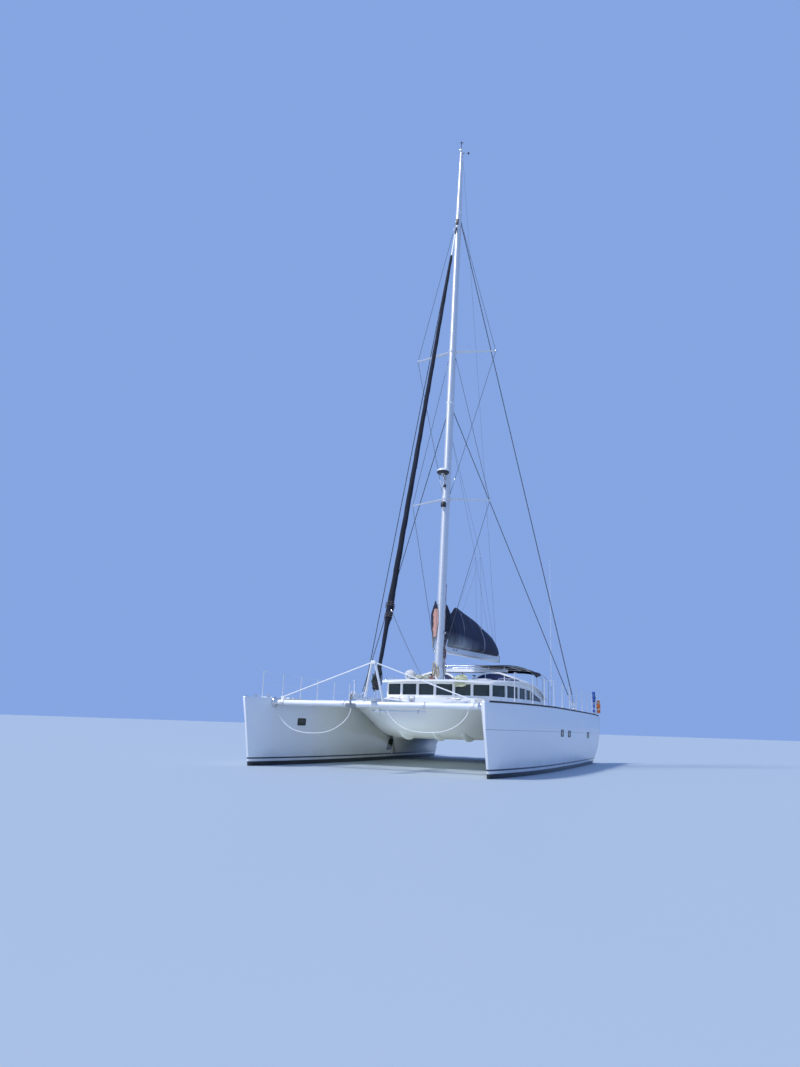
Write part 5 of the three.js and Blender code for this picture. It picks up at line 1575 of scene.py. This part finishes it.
def boom_spar():
    bm = cad_copy("boom")
    soften(bm, 0.035, 4, 40)
    end = stand(BOOM_END, (BOOM_END - BOOM_PIN).normalized(), UP)
    block(bm, (0.236, 0.32, 0.10), end, 0.03, 3, 1)
    sheave = [(0.0, -0.012), (0.07, -0.012), (0.058, 0.0), (0.07, 0.012), (0.0, 0.012)]
    for x in (-0.055, 0.0, 0.055):
        turned(bm, sheave, end @ offset(x, 0.0, 0.02) @ ALONG_X, 16, 2)
    for y in (2.3, 4.6, 6.4):
        low = Vector((0, y, boom_z(y) - 0.15))
        block(bm, (0.05, 0.14, 0.012), stand(low - UP * 0.004, UP), 0.004, mat=2)
        eye = [low + Vector((0, k, d)) for k, d in ((-0.04, 0.0), (-0.03, -0.045), (0.03, -0.045),
                                                    (0.04, 0.0))]
        pipe(bm, curve(eye, 4), 0.007, 8, 2)
    for s in (-1, 1):
        for y in (0.2, 0.55):
            block(bm, (0.02, 0.16, 0.05), offset(s * 0.115, y, boom_z(y) + 0.02), 0.008, mat=1)
    piece("boom_spar", bm, ("anodised", "grey", "stainless"), "boom", "boom")


def sail_bag():
    bm = bmesh.new()
    skin(bm, [bag_ring(row) for row in BAG_ROWS])
    section = ((-0.03, 0.006), (0.03, 0.006), (0.03, -0.004), (-0.03, -0.004), (-0.03, 0.006))
    for y in STRAPS:
        skin(bm, [bag_ring(bag_row(y + d), grow) for d, grow in section], 2 if y == PALE_STRAP else 1,
             caps=False)
    pipe(bm, [Vector((0.0, r.x, r.y + 0.004)) for r in BAG_ROWS[8:-10]], 0.011, 8, 1)
    for s in (-1, 1):
        hem = [Vector((s * r.z * 0.52, r.x, bag_floor(r.x))) for r in BAG_ROWS[2:-8]]
        pipe(bm, hem, 0.012, 8)
    bag = piece("sail_bag_cloth", bm, ("bag_canvas", "grey", "sailcloth"), "boom", "sail_bag",
                smooth=60, outward=True)


def luff_folds():
    """Folds of the mainsail's luff between the mast and the bag"""
    bm = bmesh.new()
    rings = []
    rows = 80
    for k in range(rows + 1):
        z = 4.55 + 1.5 * k / rows
        taper = 1 - (k / rows) ** 6 * 0.8
        wide = (0.10 + 0.045 * sin(z * 25) + 0.02 * sin(z * 61)) * taper
        deep = (0.17 + 0.03 * sin(z * 25 + 0.8)) * taper
        middle = swing_axis(z) + Vector((0.02 * sin(z * 9), 0.03 + deep, 0))
        rings.append([middle + Vector((c * wide, s * deep, 0)) for c, s in circle(20)])
    skin(bm, rings)
    for z in (4.9, 5.3, 5.7):
        block(bm, (0.03, 0.05, 0.03), Matrix.Translation(swing_axis(z) + Vector((0, 0.02, 0))), 0.006, mat=1)
    folds = piece("luff_folds", bm, ("bag_canvas", "grey"), "boom", smooth=60, outward=True)


def boom_lines():
    """Lazy jacks and the boom's lift"""
    bm = bmesh.new()
    for s in (-1, 1):
        split = Vector((s * JACK_SPLIT.x, JACK_SPLIT.y, JACK_SPLIT.z))
        pipe(bm, [swing_axis(JACK_TOP), split], 0.0045, 6)
        for y in JACK_FEET:
            row = bag_row(y)
            low = bag_floor(y)
            foot = Vector((s * (row.z * 0.36 + 0.01), y, low + 0.86 * (row.y - low)))
            pipe(bm, [split, foot], 0.004, 6)
            block(bm, (0.02, 0.05, 0.05), Matrix.Translation(foot), 0.005, mat=1)
        ball(bm, split, 0.022, 1)
    pipe(bm, [swing_axis(LIFT_TOP), Vector((0, 7.2, 4.71))], 0.0045, 6)
    piece("lazy_jacks", bm, ("rope_dark", "stainless"), "boom", outward=True)


def mast_eyes():
    """Eyes on the mast for the lines that swing, and the main halyard"""
    bm = bmesh.new()
    for z in (JACK_TOP, LIFT_TOP):
        pipe(bm, [mast_face(z, -0.02), swing_axis(z) + Vector((0, -0.01, 0))], 0.012, 8)
        ball(bm, swing_axis(z) + Vector((0, -0.02, 0)), 0.022)
    head = swing_axis(6.1)
    halyard = [head + UP * 0.02, head + UP * 0.3, mast_face(7.2, 0.035), mast_face(26.5, 0.03)]
    pipe(bm, halyard, 0.006, 6, 1)
    ball(bm, swing_axis(6.12), 0.025)
    piece("jack_eyes", bm, ("stainless", "rope_white"), outward=True)


def flap_edges(z):
    """Left and right edge of the mast's cover at a height"""
    return [between([(row[0], row[k]) for row in FLAP_ROWS], z) for k in (1, 2)]


def mast_cover():
    low = FLAP_ROWS[0][0]
    high = FLAP_ROWS[-1][0]
    bm = bmesh.new()
    grid = bmesh.ops.create_grid(bm, x_segments=24, y_segments=60, size=0.5)["verts"]
    for vert in grid:
        u, v = vert.co.x + 0.5, vert.co.y + 0.5
        z = low + (high - low) * v
        left, right = flap_edges(z)
        x = left + (right - left) * u
        bend = -0.262 + 0.10 * (x / 0.33) ** 2
        bend += 0.014 * sin(x * 55 + z * 2.1) + 0.012 * sin(z * 7 + u * 2)
        vert.co = mast_point(x, bend, z)
    for face in bm.faces:
        at = face.calc_center_median()
        left, right = flap_edges(at.z)
        side = (at.x - left) / (right - left)
        if side < 0.34 + 0.12 * noise.noise(at * 5) or not 4.62 <= at.z <= 5.68:
            face.material_index = 1
    area = sum(face.calc_area() for face in bm.faces)
    cloth = piece("mast_flap", bm, ("salmon", "bag_canvas"), smooth=80)
    bm = bmesh.new()
    for z in (4.35, 5.84):
        ring = mast_ring(mast_run(z), 0.009, 24)
        pipe(bm, ring + [ring[0]], 0.007, 6)
        pipe(bm, [mast_point(-0.16, -0.13, z), mast_point(-0.19, -0.235, z)], 0.006, 6)
    lashing = piece("flap_lashing", bm, "rope_white", outward=True)


class BoomBuild(bpy.types.Operator):
    """Boom with its sail bag, lazy jacks and lift, and the cover that hangs on the mast"""

    bl_idname = "catamaran.boom"
    bl_label = "Boom and sail bag"

    def execute(self, context):
        boom_spar()
        sail_bag()
        luff_folds()
        boom_lines()
        mast_eyes()
        mast_cover()
        return {"FINISHED"}


HOOP_LINE = ((-1.2, 3.79), (-1.1, 3.85), (-0.9, 3.868), (0.0, 3.87), (1.7, 3.86), (2.25, 3.78), (2.62, 3.63),
             (2.85, 3.40))
HOOPS = (2.7, 3.9, 5.1)
HOOP_R = 0.018
HOOP_FEET = (-1.25, 2.85)
RIDGES = ((-1.1, 3.85), (0.0, 3.87), (1.7, 3.86))
TUBE_END_X = 1.7
BOARD_Y = 2.7
CANOPY_LINE = ((0.30, 3.8695, 0), (1.0, 3.8655, 0), (1.7, 3.862, 0), (2.25, 3.782, 0), (2.62, 3.632, 0),
               (2.92, 3.34, 0))
CANOPY_EDGE = ((2.45, 2.88), (4.3, 2.68), (4.9, 2.56), (5.1, 2.44), (5.2, 2.30), (5.25, 2.14))
CANOPY_LOW = 2.45
CANOPY_HIGH = 5.25
SKIRT_FROM = 0.95


def hoop_foot(x, y):
    """Height of the CAD frame's foot near a place, or None where it has no foot"""
    corners = [v.co for v in frame["nodes"]["bimini_frame"].data.vertices]
    return min((v.z for v in corners if abs(v.x - x) < 0.04 and abs(v.y - y) < 0.04), default=None)


def bimini_tubes():
    bm = bmesh.new()
    for y in HOOPS:
        hoop(bm, y)
    for x, z in RIDGES:
        pipe(bm, [(x, HOOPS[0], z), (x, HOOPS[2], z)], HOOP_R - 0.003, 12)
        for y in HOOPS:
            turned(bm, sleeve(0.019, 0.0235, 0.03), offset(x, y, z) @ ALONG_X, 14)
    piece("bimini_tubes", bm, "stainless", replaces="bimini_frame", outward=True)


def hoop(bm, y):
    """One bent tube with a flange at each foot"""
    inner_x, outer_x = HOOP_FEET
    bends = [Vector((x, y, z)) for x, z in HOOP_LINE]
    low = hoop_foot(inner_x, y)
    if low is None:
        bends = bends[1:]
    else:
        bends.insert(0, Vector((inner_x, y, 3.69)))
    path = curve(bends, 5)
    ends = [(outer_x, hoop_foot(outer_x, y))]
    path.append(Vector((outer_x, y, ends[0][1])))
    if low is not None:
        ends.append((inner_x, low))
        path.insert(0, Vector((inner_x, y, low)))
    pipe(bm, path, HOOP_R, 14)
    flange = [(0.0, 0.0), (0.048, 0.0), (0.046, 0.008), (0.024, 0.014), (0.021, 0.05), (0.0, 0.05)]
    for x, z in ends:
        turned(bm, flange, offset(x, y, z + 0.0005), 18)


def front_board():
    bm = bmesh.new()
    span_block(bm, (-1.1, 2.684, 3.60), (1.66, 2.712, 3.73), 0.01, 3, 0)
    # Black strip under the board: painted shade beneath its lower edge
    span_block(bm, (-1.09, 2.682, 3.575), (1.65, 2.714, 3.602), 0.006, 2, 1)
    for x in (-0.9, 0.0, 0.85, 1.5):
        block(bm, (0.03, 0.03, 0.16), offset(x, BOARD_Y, 3.79), 0.006, mat=2)
        turned(bm, sleeve(0.0185, 0.025, 0.02), offset(x, BOARD_Y, 3.8665) @ ALONG_X, 14, 2)
    piece("front_board", bm, ("white", "black", "stainless"), outward=True)


def canopy():
    bm = bmesh.new()
    drape_canopy(bm)
    area = sum(face.calc_area() for face in bm.faces)
    loop = cloth_border(bm)
    cloth = piece("canopy_cloth", bm, "canvas", replaces="bimini_canopy", smooth=80)
    hem = canopy_hem(loop)


def drape_canopy(bm):
    """Grid of cloth that follows the hoops, sags between them and ends in a short skirt"""
    line = curve(CANOPY_LINE, 12)
    runs = [0.0]
    for a, b in zip(line, line[1:]):
        runs.append(runs[-1] + (b - a).length)
    run_of = [(p.x, r) for p, r in zip(line, runs)]
    tube_run = between(run_of, TUBE_END_X)
    grid = bmesh.ops.create_grid(bm, x_segments=44, y_segments=56, size=0.5)["verts"]
    for vert in grid:
        u, v = vert.co.x + 0.5, vert.co.y + 0.5
        y = CANOPY_LOW + (CANOPY_HIGH - CANOPY_LOW) * min(1.0, v / SKIRT_FROM)
        skirt = 0.14 * max(0.0, v - SKIRT_FROM) / 0.05
        run = u * between(run_of, between(CANOPY_EDGE, y))
        point, out = at_run(line, runs, run)
        over = tube_run if run > tube_run else 0.0
        reach = (run - over) / ((runs[-1] if over else tube_run) - over)
        bay = (y - HOOPS[0]) / (HOOPS[1] - HOOPS[0])
        if 0.0 < bay < 2.0:
            lower = 0.05 * sin(pi * (bay % 1.0)) * sin(pi * min(1.0, reach))
        else:
            lower = 0.25 * (max(HOOPS[0] - y, y - HOOPS[2])) ** 1.6
        ripple = 0.004 * noise.noise(Vector((run * 3.0, y * 3.0, 0.0)))
        ripple += 0.003 * sin(run * 30) * abs(sin(pi * bay))
        point = point + out * (0.0265 - lower * (0.6 if over else 1.0) + abs(ripple))
        vert.co = Vector((point.x, y + 0.02 * skirt, point.y - skirt))


def at_run(line, runs, run):
    """Point and outward direction at a distance along a line"""
    k = next((k for k, far in enumerate(runs[1:-1]) if run <= far), len(runs) - 2)
    share = (run - runs[k]) / (runs[k + 1] - runs[k])
    along = (line[k + 1] - line[k]).normalized()
    return line[k].lerp(line[k + 1], share), Vector((-along.y, along.x, 0))


def cloth_border(bm):
    """Points along the cloth's edge, in order"""
    edges = [e for e in bm.edges if e.is_boundary]
    start = edges[0].verts[0]
    loop = []
    at = start
    last = None
    while not loop or at is not start:
        loop.append(at.co.copy())
        last = next(e for e in at.link_edges if e.is_boundary and e is not last)
        at = last.other_vert(at)
    return loop


def canopy_hem(loop):
    """Bolt rope round the cloth, and the lashings along its inner edge"""
    bm = bmesh.new()
    pipe(bm, loop + [loop[0]], 0.007, 6)
    for k in range(9):
        y = 2.8 + 0.28 * k
        inner = min(loop, key=lambda p: (p - Vector((0.3, y, 3.88))).length)
        lashing = [inner + Vector((0.02, 0, 0.003)), Vector((0.0, y + 0.02, 3.889)),
                   Vector((-0.019, y + 0.03, 3.87)), Vector((0.0, y + 0.04, 3.852)), inner
                   + Vector((0.02, 0.05, -0.006))]
        pipe(bm, lashing, 0.0035, 6, 1)
    return piece("canopy_hem", bm, ("canvas", "rope_dark"), outward=True)


class BiminiBuild(bpy.types.Operator):
    """Tube frame over the helms, its canopy and the board across its front"""

    bl_idname = "catamaran.bimini"
    bl_label = "Bimini"

    def execute(self, context):
        bimini_tubes()
        front_board()
        canopy()
        return {"FINISHED"}


STANCHIONS = (-6.73, -5.09, -3.67, -2.27, -0.8, 0.65, 2.13, 3.6, 5.0, 6.4, 7.75)
STANCHION_TOP = 2.943
RAIL_INSET = 0.075
NET_AFT = -4.955
NET_FORE = -7.175
NET_Z = 1.947
COVER_TIES = (2.36, 2.62, 2.9)
AERIAL_X = 3.22
AERIAL_Y = 3.8


def stern_post(s):
    """Foot of a side's last stanchion, at the height of the water"""
    y = STANCHIONS[-1]
    return Vector((s * (HULL_X + deck_half(y) - RAIL_INSET), y, 0))


def highest(x, y, nodes):
    """Top point under a plumb line that meets any of some nodes"""
    hits = [target(node).ray_cast(Vector((x, y, PLUMB_FROM)), -UP)[0] for node in nodes]
    return max((hit for hit in hits if hit), key=lambda p: p.z)


def lifelines(side, s):
    bm = bmesh.new()
    feet = []
    for y in STANCHIONS:
        x = s * (HULL_X + max(deck_half(y) - RAIL_INSET, 0.02))
        deck = on_top(f"hull_{side}", x, y)[0]
        stanchion(bm, deck)
        feet.append(Vector((x, y, 0)))
    for z in (2.93, 2.54):
        line_wire(bm, feet, z)
    looks = ("anodised", "stainless")
    piece(f"lifelines_fine_{side}", bm, looks, replaces=f"lifelines_{side}", outward=True)


def stanchion(bm, deck):
    tall = STANCHION_TOP - deck.z
    foot = [(0.0, -0.015), (0.05, -0.015), (0.05, 0.006), (0.024, 0.012), (0.018, 0.09), (0.0165, 0.1),
            (0.0155, 0.4)]
    head = [(0.015, tall - 0.035), (0.017, tall - 0.03), (0.017, tall - 0.006), (0.01, tall), (0.0, tall)]
    turned(bm, foot + head, Matrix.Translation(deck), 14)


def line_wire(bm, feet, z):
    """One line wire with a slight sag, and the fittings at its two ends"""
    line = []
    for a, b in zip(feet, feet[1:]):
        line += [a.lerp(b, k / 4) + UP * (z - 0.012 * sin(pi * k / 4)) for k in range(4)]
    pipe(bm, line + [feet[-1] + UP * z], sizes().wire, 6, 1)
    for end, near in ((feet[0], feet[1]), (feet[-1], feet[-2])):
        way = (near - end).normalized()
        pipe(bm, [end + UP * z + way * 0.02, end + UP * z + way * 0.2], 0.008, 8)


def bow_net(side, s):
    node = f"trampoline_{side}"
    rows = 1 + round((NET_AFT - NET_FORE) / sizes().net_mesh)
    places = [NET_FORE + (NET_AFT - NET_FORE) * k / rows for k in range(rows + 1)]
    outer = [s * (abs(touch(node, (s * 5, y, NET_Z), (-s, 0, 0))[0].x) - 0.07) for y in places]
    inner = [s * (abs(touch(node, (0, y, NET_Z), (s, 0, 0))[0].x) + 0.04) for y in places]
    columns = round(abs(outer[rows // 2] - inner[rows // 2]) / sizes().net_mesh)
    bm = bmesh.new()
    grid = bmesh.ops.create_grid(bm, x_segments=columns, y_segments=rows, size=0.5)["verts"]
    loop = {}
    for vert in grid:
        i, k = round((vert.co.x + 0.5) * columns), round((vert.co.y + 0.5) * rows)
        sag = 0.02 * sin(pi * i / columns) * sin(pi * k / rows)
        vert.co = (inner[k] + (outer[k] - inner[k]) * i / columns, places[k], NET_Z - sag)
        loop[i, k] = vert.co.copy()
    bmesh.ops.wireframe(bm, faces=bm.faces[:], thickness=0.006, use_boundary=True, use_replace=True)
    around = [loop[i, 0] for i in range(columns)] + [loop[columns, k] for k in range(rows)]
    around += [loop[i, rows] for i in range(columns, 0, -1)] + [loop[0, k] for k in range(rows, -1, -1)]
    rail(bm, around, [(-0.03, -0.004), (0.03, -0.004), (0.03, 0.005), (-0.03, 0.005)], 1)
    to_hull = Vector((s * 0.062, 0.0, -0.002))
    lacing(bm, [(loop[columns, k], loop[columns, k + 1] + to_hull) for k in range(0, rows, 2)])
    for row, step in ((0, -0.035), (rows, 0.004)):
        to_beam = Vector((0.0, step, 0.0))
        lacing(bm, [(loop[i, row], loop[i + 1, row] + to_beam) for i in range(0, columns, 2)])
    piece(f"bow_net_{side}", bm, ("net", "black", "rope_white"), replaces=node)


def lacing(bm, turns):
    """Thin line that goes back and forth between the net's edge and the structure"""
    line = []
    for on_net, on_edge in turns:
        line += [on_net + UP * 0.006, on_edge]
    pipe(bm, line, 0.004, 5, 2)


def stern_gear():
    bm = bmesh.new()
    for side, s in SIDES:
        at, _ = touch(f"hull_{side}", (s * HULL_X, 11, 1.78), (0, -1, 0))
        block(bm, (0.05, 0.012, 0.08), Matrix.Translation(at), 0.004)
        lamp = [(0.0, 0.0), (0.028, 0.0), (0.03, 0.03), (0.022, 0.06), (0.0, 0.062)]
        turned(bm, lamp, Matrix.Translation(stern_post(s) + Vector((0, 0.03, 2.6))), 14, 1)
    post = stern_post(1)
    for z in (2.62, 2.42):
        pipe(bm, curve([post + UP * z, post + Vector((0.0, 0.2, z)), post + Vector((0.0, 0.42, z))], 3),
             0.007, 8)
        turned(bm, sleeve(0.0135, 0.02, 0.02), Matrix.Translation(post + UP * z), 12)
    piece("stern_gear", bm, ("stainless", "white_plastic"), outward=True)


def horseshoe():
    """Padded horseshoe float with its bands"""
    bm = bmesh.new()
    middle = stern_post(1) + Vector((0.072, 0.27, 2.42))
    turns = ((pi, -0.24), (pi, -0.1), (pi, 0.08), (2.4, 0.22), (pi / 2, 0.29), (0.75, 0.22), (0.0, 0.08),
             (0.0, -0.1), (0.0, -0.24))
    path = curve([middle + Vector((0, 0.19 * cos(a) * (1.0 if z > -0.1 else 0.8), z)) for a, z in turns], 5)
    rounded = [0.035] + [0.058] * (len(path) - 2) + [0.035]
    pipe(bm, path, 0.058, 16, radii=rounded)
    band = [(0.056, -0.03), (0.0605, -0.028), (0.0605, 0.028), (0.056, 0.03)]
    for k in (6, 14, len(path) // 2, len(path) - 15, len(path) - 7):
        run = (path[k + 1] - path[k - 1]).normalized()
        turned(bm, band, stand(path[k], run, (1, 0, 0)), 18, 1)
    ring = piece("horseshoe_float", bm, ("orange", "cream"), outward=True)


def rolled_cover():
    """Blue cloth rolled and tied upright to the last stanchion"""
    post = stern_post(1)
    bm = bmesh.new()
    rings = []
    rows = 60
    for k in range(rows + 1):
        z = 2.20 + 0.92 * k / rows
        size = 0.055 + 0.018 * sin(z * 7) + 0.008 * sin(z * 31)
        if k in (0, rows):
            size *= 0.55
        for tie in COVER_TIES:
            size *= 1 - 0.35 * exp(-(((z - tie) / 0.02) ** 2))
        centre = post + Vector((-0.09, -0.06 + 0.012 * sin(z * 8), z))
        rings.append([centre + Vector((c * size * (1 + 0.16 * sin(3 * atan2(s, c) + z * 5)), s * size, 0))
                      for c, s in circle(22)])
    skin(bm, rings)
    for tie in COVER_TIES:
        ring = [post + Vector((-0.04 + 0.098 * c, -0.03 + 0.072 * s, tie)) for c, s in circle(16)]
        pipe(bm, ring + [ring[0]], 0.006, 6, 1)
    cover = piece("furled_cover", bm, ("blue_cloth", "rope_white"), smooth=60,
                  outward=True)


def aerial():
    bm = bmesh.new()
    x, y = AERIAL_X, AERIAL_Y
    deck = highest(x, y, ("hull_port", "bridge_deck", "cabin_roof"))
    flange = [(0.0, -0.01), (0.045, -0.01), (0.045, 0.008), (0.025, 0.014), (0.02, 0.08), (0.0, 0.08)]
    turned(bm, flange, Matrix.Translation(deck), 16, 1)
    pipe(bm, [deck + UP * 0.02, Vector((x, y, 3.05))], 0.014, 12, 1)
    pipe(bm, [Vector((x, y, 3.0)), Vector((x, y, 8.5))], 0.011, 10, radii=[0.013, 0.006])
    turned(bm, sleeve(0.0135, 0.02, 0.08), offset(x, y, 3.05), 14, 1)
    pipe(bm, [(x - 0.17, y, 3.35), (x + 0.17, y, 3.35)], 0.007, 8)
    piece("whip_aerial", bm, ("white_plastic", "stainless"), outward=True)


class DeckBuild(bpy.types.Operator):
    """Lifelines, bow nets and the gear that hangs on the rails"""

    bl_idname = "catamaran.deck"
    bl_label = "Lifelines and nets"

    def execute(self, context):
        for side, s in SIDES:
            lifelines(side, s)
            bow_net(side, s)
        stern_gear()
        horseshoe()
        rolled_cover()
        aerial()
        return {"FINISHED"}


WHEEL_AT = Vector((1.75, 3.88, 2.6))
WHEEL_R = 0.39
HELM_FACE_Y = 3.801
TABLE_TOP = 1.97
TABLE_ENDS = (5.17, 5.93)
TABLE_HALF = 0.63


def helm(side, s):
    node = f"helm_station_{side}"
    bm = cad_copy(node)
    tread_pads(bm, lambda f, at: f.normal.z > 0.99 and at.z < 1.8 and f.calc_area() > 0.3, 0.06)
    soften(bm, 0.03, 3, 40)
    x = s * WHEEL_AT.x
    for dx, wide in ((-0.13, 0.14), (0.08, 0.2)):
        face = stand((x + dx, HELM_FACE_Y, 2.76), (0, 1, 0), UP)
        lid(bm, face, (wide, 0.11, 0.02), 0.018, 0.012, 0.004, (2, 3), below=0.01)
    compass = [(0.0, -0.01), (0.075, -0.01), (0.078, 0.02), (0.06, 0.055), (0.03, 0.075), (0.0, 0.08)]
    turned(bm, compass, offset(x, 3.62, 2.86), 20, 2)
    throttle(bm, x + s * 0.2, s)
    for dx in (-0.17, 0.17):
        grip = [(x + dx, 3.80, 2.28), (x + dx, 3.85, 2.3), (x + dx, 3.85, 2.42), (x + dx, 3.80, 2.44)]
        pipe(bm, curve(grip, 4), 0.009, 8, 4)
    looks = ("gelcoat_deck", "tread", "black", "glass", "stainless")
    piece(f"helm_fine_{side}", bm, looks, replaces=node)


def throttle(bm, x, s):
    """Black box with two levers"""
    block(bm, (0.07, 0.12, 0.05), offset(x - s * 0.01, 3.6, 2.875), 0.015, mat=2)
    for dy in (-0.03, 0.03):
        pipe(bm, curve([(x, 3.6 + dy, 2.88), (x, 3.61 + dy, 2.96), (x, 3.64 + dy, 3.0)], 4), 0.007, 8, 4)
        ball(bm, (x, 3.642 + dy, 3.005), 0.018, 2)


def helm_wheel(side, s):
    centre = Vector((s * WHEEL_AT.x, WHEEL_AT.y, WHEEL_AT.z))
    bm = bmesh.new()
    flat = stand(centre, (0, 1, 0), UP)
    rim = [flat @ Vector((WHEEL_R * c, WHEEL_R * q, 0)) for c, q in circle(56)]
    pipe(bm, rim + [rim[0]], 0.0165, 12, 1, caps=False)
    for k in range(5):
        a = 2 * pi * k / 5 + pi / 2
        way = Vector((cos(a), sin(a), 0))
        spoke = ((0.02, 0.0), (0.08, 0.012), (0.25, 0.008), (WHEEL_R, 0.0))
        pipe(bm, [flat @ (way * r + Vector((0, 0, d))) for r, d in spoke], 0.0085, 8)
    hub = [(0.0, -0.074), (0.044, -0.074), (0.046, -0.05), (0.036, -0.02), (0.05, -0.012), (0.05, 0.012),
           (0.03, 0.028), (0.0, 0.03)]
    turned(bm, hub, flat, 24)
    turned(bm, [(0.0, -0.16), (0.0125, -0.16), (0.0125, -0.07), (0.0, -0.07)], flat, 16)
    name = f"wheel_{side}"
    piece(f"wheel_fine_{side}", bm, ("stainless", "leather"), name, name, outward=True)


def engine_hatch(side, s):
    node = f"engine_hatch_{side}"
    bm = cad_copy(node)
    tread_pads(bm, lambda f, at: f.normal.z > 0.99, 0.06)
    soften(bm, 0.012, 3, 40)
    latch = [(0.0, -0.005), (0.034, -0.005), (0.034, 0.003), (0.026, 0.004), (0.024, -0.001), (0.0, -0.001)]
    for dx in (-0.2, 0.2):
        at = on_top(node, s * HULL_X + dx, 4.86)[0]
        turned(bm, latch, Matrix.Translation(at), 18, 2)
    looks = ("gelcoat_deck", "tread", "stainless")
    piece(f"engine_hatch_fine_{side}", bm, looks, body_of_node(node), node)


def bench():
    bm = cad_copy("cockpit_bench")
    soften(bm, 0.035, 4, 40)
    for k in range(9):
        y = 6.40 + 0.045 * k
        span_block(bm, (-1.84, y, 1.698), (1.84, y + 0.038, 1.712), 0.004, 2, 1)
    for x in (-1.25, 0.0, 1.25):
        lid(bm, stand((x, 6.35, 1.47), (0, -1, 0), UP), (0.9, 0.3, 0.014), 0.04, 0.03, 0.004, (0, 0))
    piece("bench_fine", bm, ("gelcoat_deck", "teak"), replaces="cockpit_bench")


def table():
    """Table with a low rim round its top"""
    bm = cad_copy("cockpit_table")
    soften(bm, 0.01, 3, 40)
    fore, aft = TABLE_ENDS
    low = TABLE_TOP - 0.005
    high = TABLE_TOP + 0.018
    for x in (-TABLE_HALF, TABLE_HALF):
        span_block(bm, (x - 0.012, fore, low), (x + 0.012, aft, high), 0.006)
    for y in TABLE_ENDS:
        span_block(bm, (-TABLE_HALF, y - 0.012, low), (TABLE_HALF, y + 0.012, high), 0.006)
    piece("table_fine", bm, "teak", replaces="cockpit_table")


def saloon_door():
    node = "saloon_door"
    bm = cad_copy(node)
    faces = [f for f in bm.faces if abs(f.normal.y) > 0.9 and f.calc_area() > 0.8]
    bmesh.ops.inset_individual(bm, faces=faces, thickness=0.07, depth=-0.006)
    for face in faces:
        face.material_index = 1
    soften(bm, 0.004, 2, 60)
    for y in (3.402, 3.448):
        block(bm, (0.035, 0.012, 0.2), offset(0.44, y, 2.1), 0.005, mat=2)
    piece("saloon_door_fine", bm, ("white", "glass", "stainless"), body_of_node(node), node)


class CockpitBuild(bpy.types.Operator):
    """Helm stations with their wheels, cockpit seats and table, sliding door and engine hatches"""

    bl_idname = "catamaran.cockpit"
    bl_label = "Cockpit"

    def execute(self, context):
        for side, s in SIDES:
            helm(side, s)
            helm_wheel(side, s)
            engine_hatch(side, s)
        bench()
        table()
        saloon_door()
        return {"FINISHED"}


# Edge radius, smooth angle and looks of the nodes that keep their shape
PLAIN_NODES = {
    "cabin_front": (0.012, 32, "gelcoat_deck"),
    "cabin_side": (0.012, 32, "gelcoat_deck"),
    "cabin_bulkhead": (0.008, 32, "gelcoat_deck"),
    "saloon_furniture": (0.015, 32, "teak"),
    "front_glass": (0.0, 32, "glass"),
    "side_glass": (0.0, 32, "glass"),
    "anchor": (0.005, 32, "galvanised"),
    "bow_beam": (0.012, 40, "white"),
    "striker_frame": (0.004, 50, "white"),
    "engine": (0.03, 40, "engine_paint"),
    "saildrive": (0.006, 40, "engine_paint"),
    "propeller": (0.003, 40, "bronze"),
    "rudder": (0.008, 40, "bottom"),
    "keel": (0.02, 40, "bottom"),
    "masthead_unit": (0.003, 40, "anodised"),
    "lower_spreaders": (0.006, 40, "anodised"),
    "upper_spreaders": (0.006, 40, "anodised"),
}


def body_of_node(node):
    return next(body for body, members in frame["record"]["behaviour"]["bodies"].items() if node in members)


class CarryBuild(bpy.types.Operator):
    """Rounded copies of the CAD pieces that keep their shape"""

    bl_idname = "catamaran.carried"
    bl_label = "Carried-over pieces"

    def execute(self, context):
        for node in frame["nodes"]:
            if frame["nodes"][node].hide_render:
                continue
            key = node if node in PLAIN_NODES else node.rsplit("_", 1)[0]
            width, angle, finish = PLAIN_NODES[key]
            bm = cad_copy(node)
            if width:
                soften(bm, width)
            piece(f"fine_{node}", bm, finish, body_of_node(node), node, angle)
        return {"FINISHED"}


class CatamaranPanel(bpy.types.Panel):
    """Lists the steps in the 3D view's sidebar"""

    bl_idname = "VIEW3D_PT_catamaran"
    bl_label = "Catamaran"
    bl_space_type = "VIEW_3D"
    bl_region_type = "UI"
    bl_category = "Catamaran"

    def draw(self, context):
        for step in STEPS:
            self.layout.operator(step.bl_idname)
        for group in (context.scene.catamaran_paint, context.scene.catamaran_sizes,
                      context.scene.catamaran_view):
            box = self.layout.box()
            for name in group.__annotations__:
                box.prop(group, name)


STEPS = (StageBuild, RopeBuild, HullBuild, BridgeBuild, CabinBuild, MastBuild, ForestayBuild, BoomBuild,
         BiminiBuild, DeckBuild, CockpitBuild, CarryBuild)
GROUPS = (CatamaranPaint, CatamaranSizes, CatamaranView)


def register():
    for cls in (*GROUPS, *STEPS, CatamaranPanel):
        bpy.utils.register_class(cls)
    bpy.types.Scene.catamaran_paint = PointerProperty(type=CatamaranPaint)
    bpy.types.Scene.catamaran_sizes = PointerProperty(type=CatamaranSizes)
    bpy.types.Scene.catamaran_view = PointerProperty(type=CatamaranView)


def unregister():
    for name in ("catamaran_view", "catamaran_sizes", "catamaran_paint"):
        delattr(bpy.types.Scene, name)
    for cls in reversed((*GROUPS, *STEPS, CatamaranPanel)):
        bpy.utils.unregister_class(cls)


def main():
    register()
    for step in STEPS:
        group, action = step.bl_idname.split(".")
        getattr(getattr(bpy.ops, group), action)()


if __name__ == "__main__":
    main()
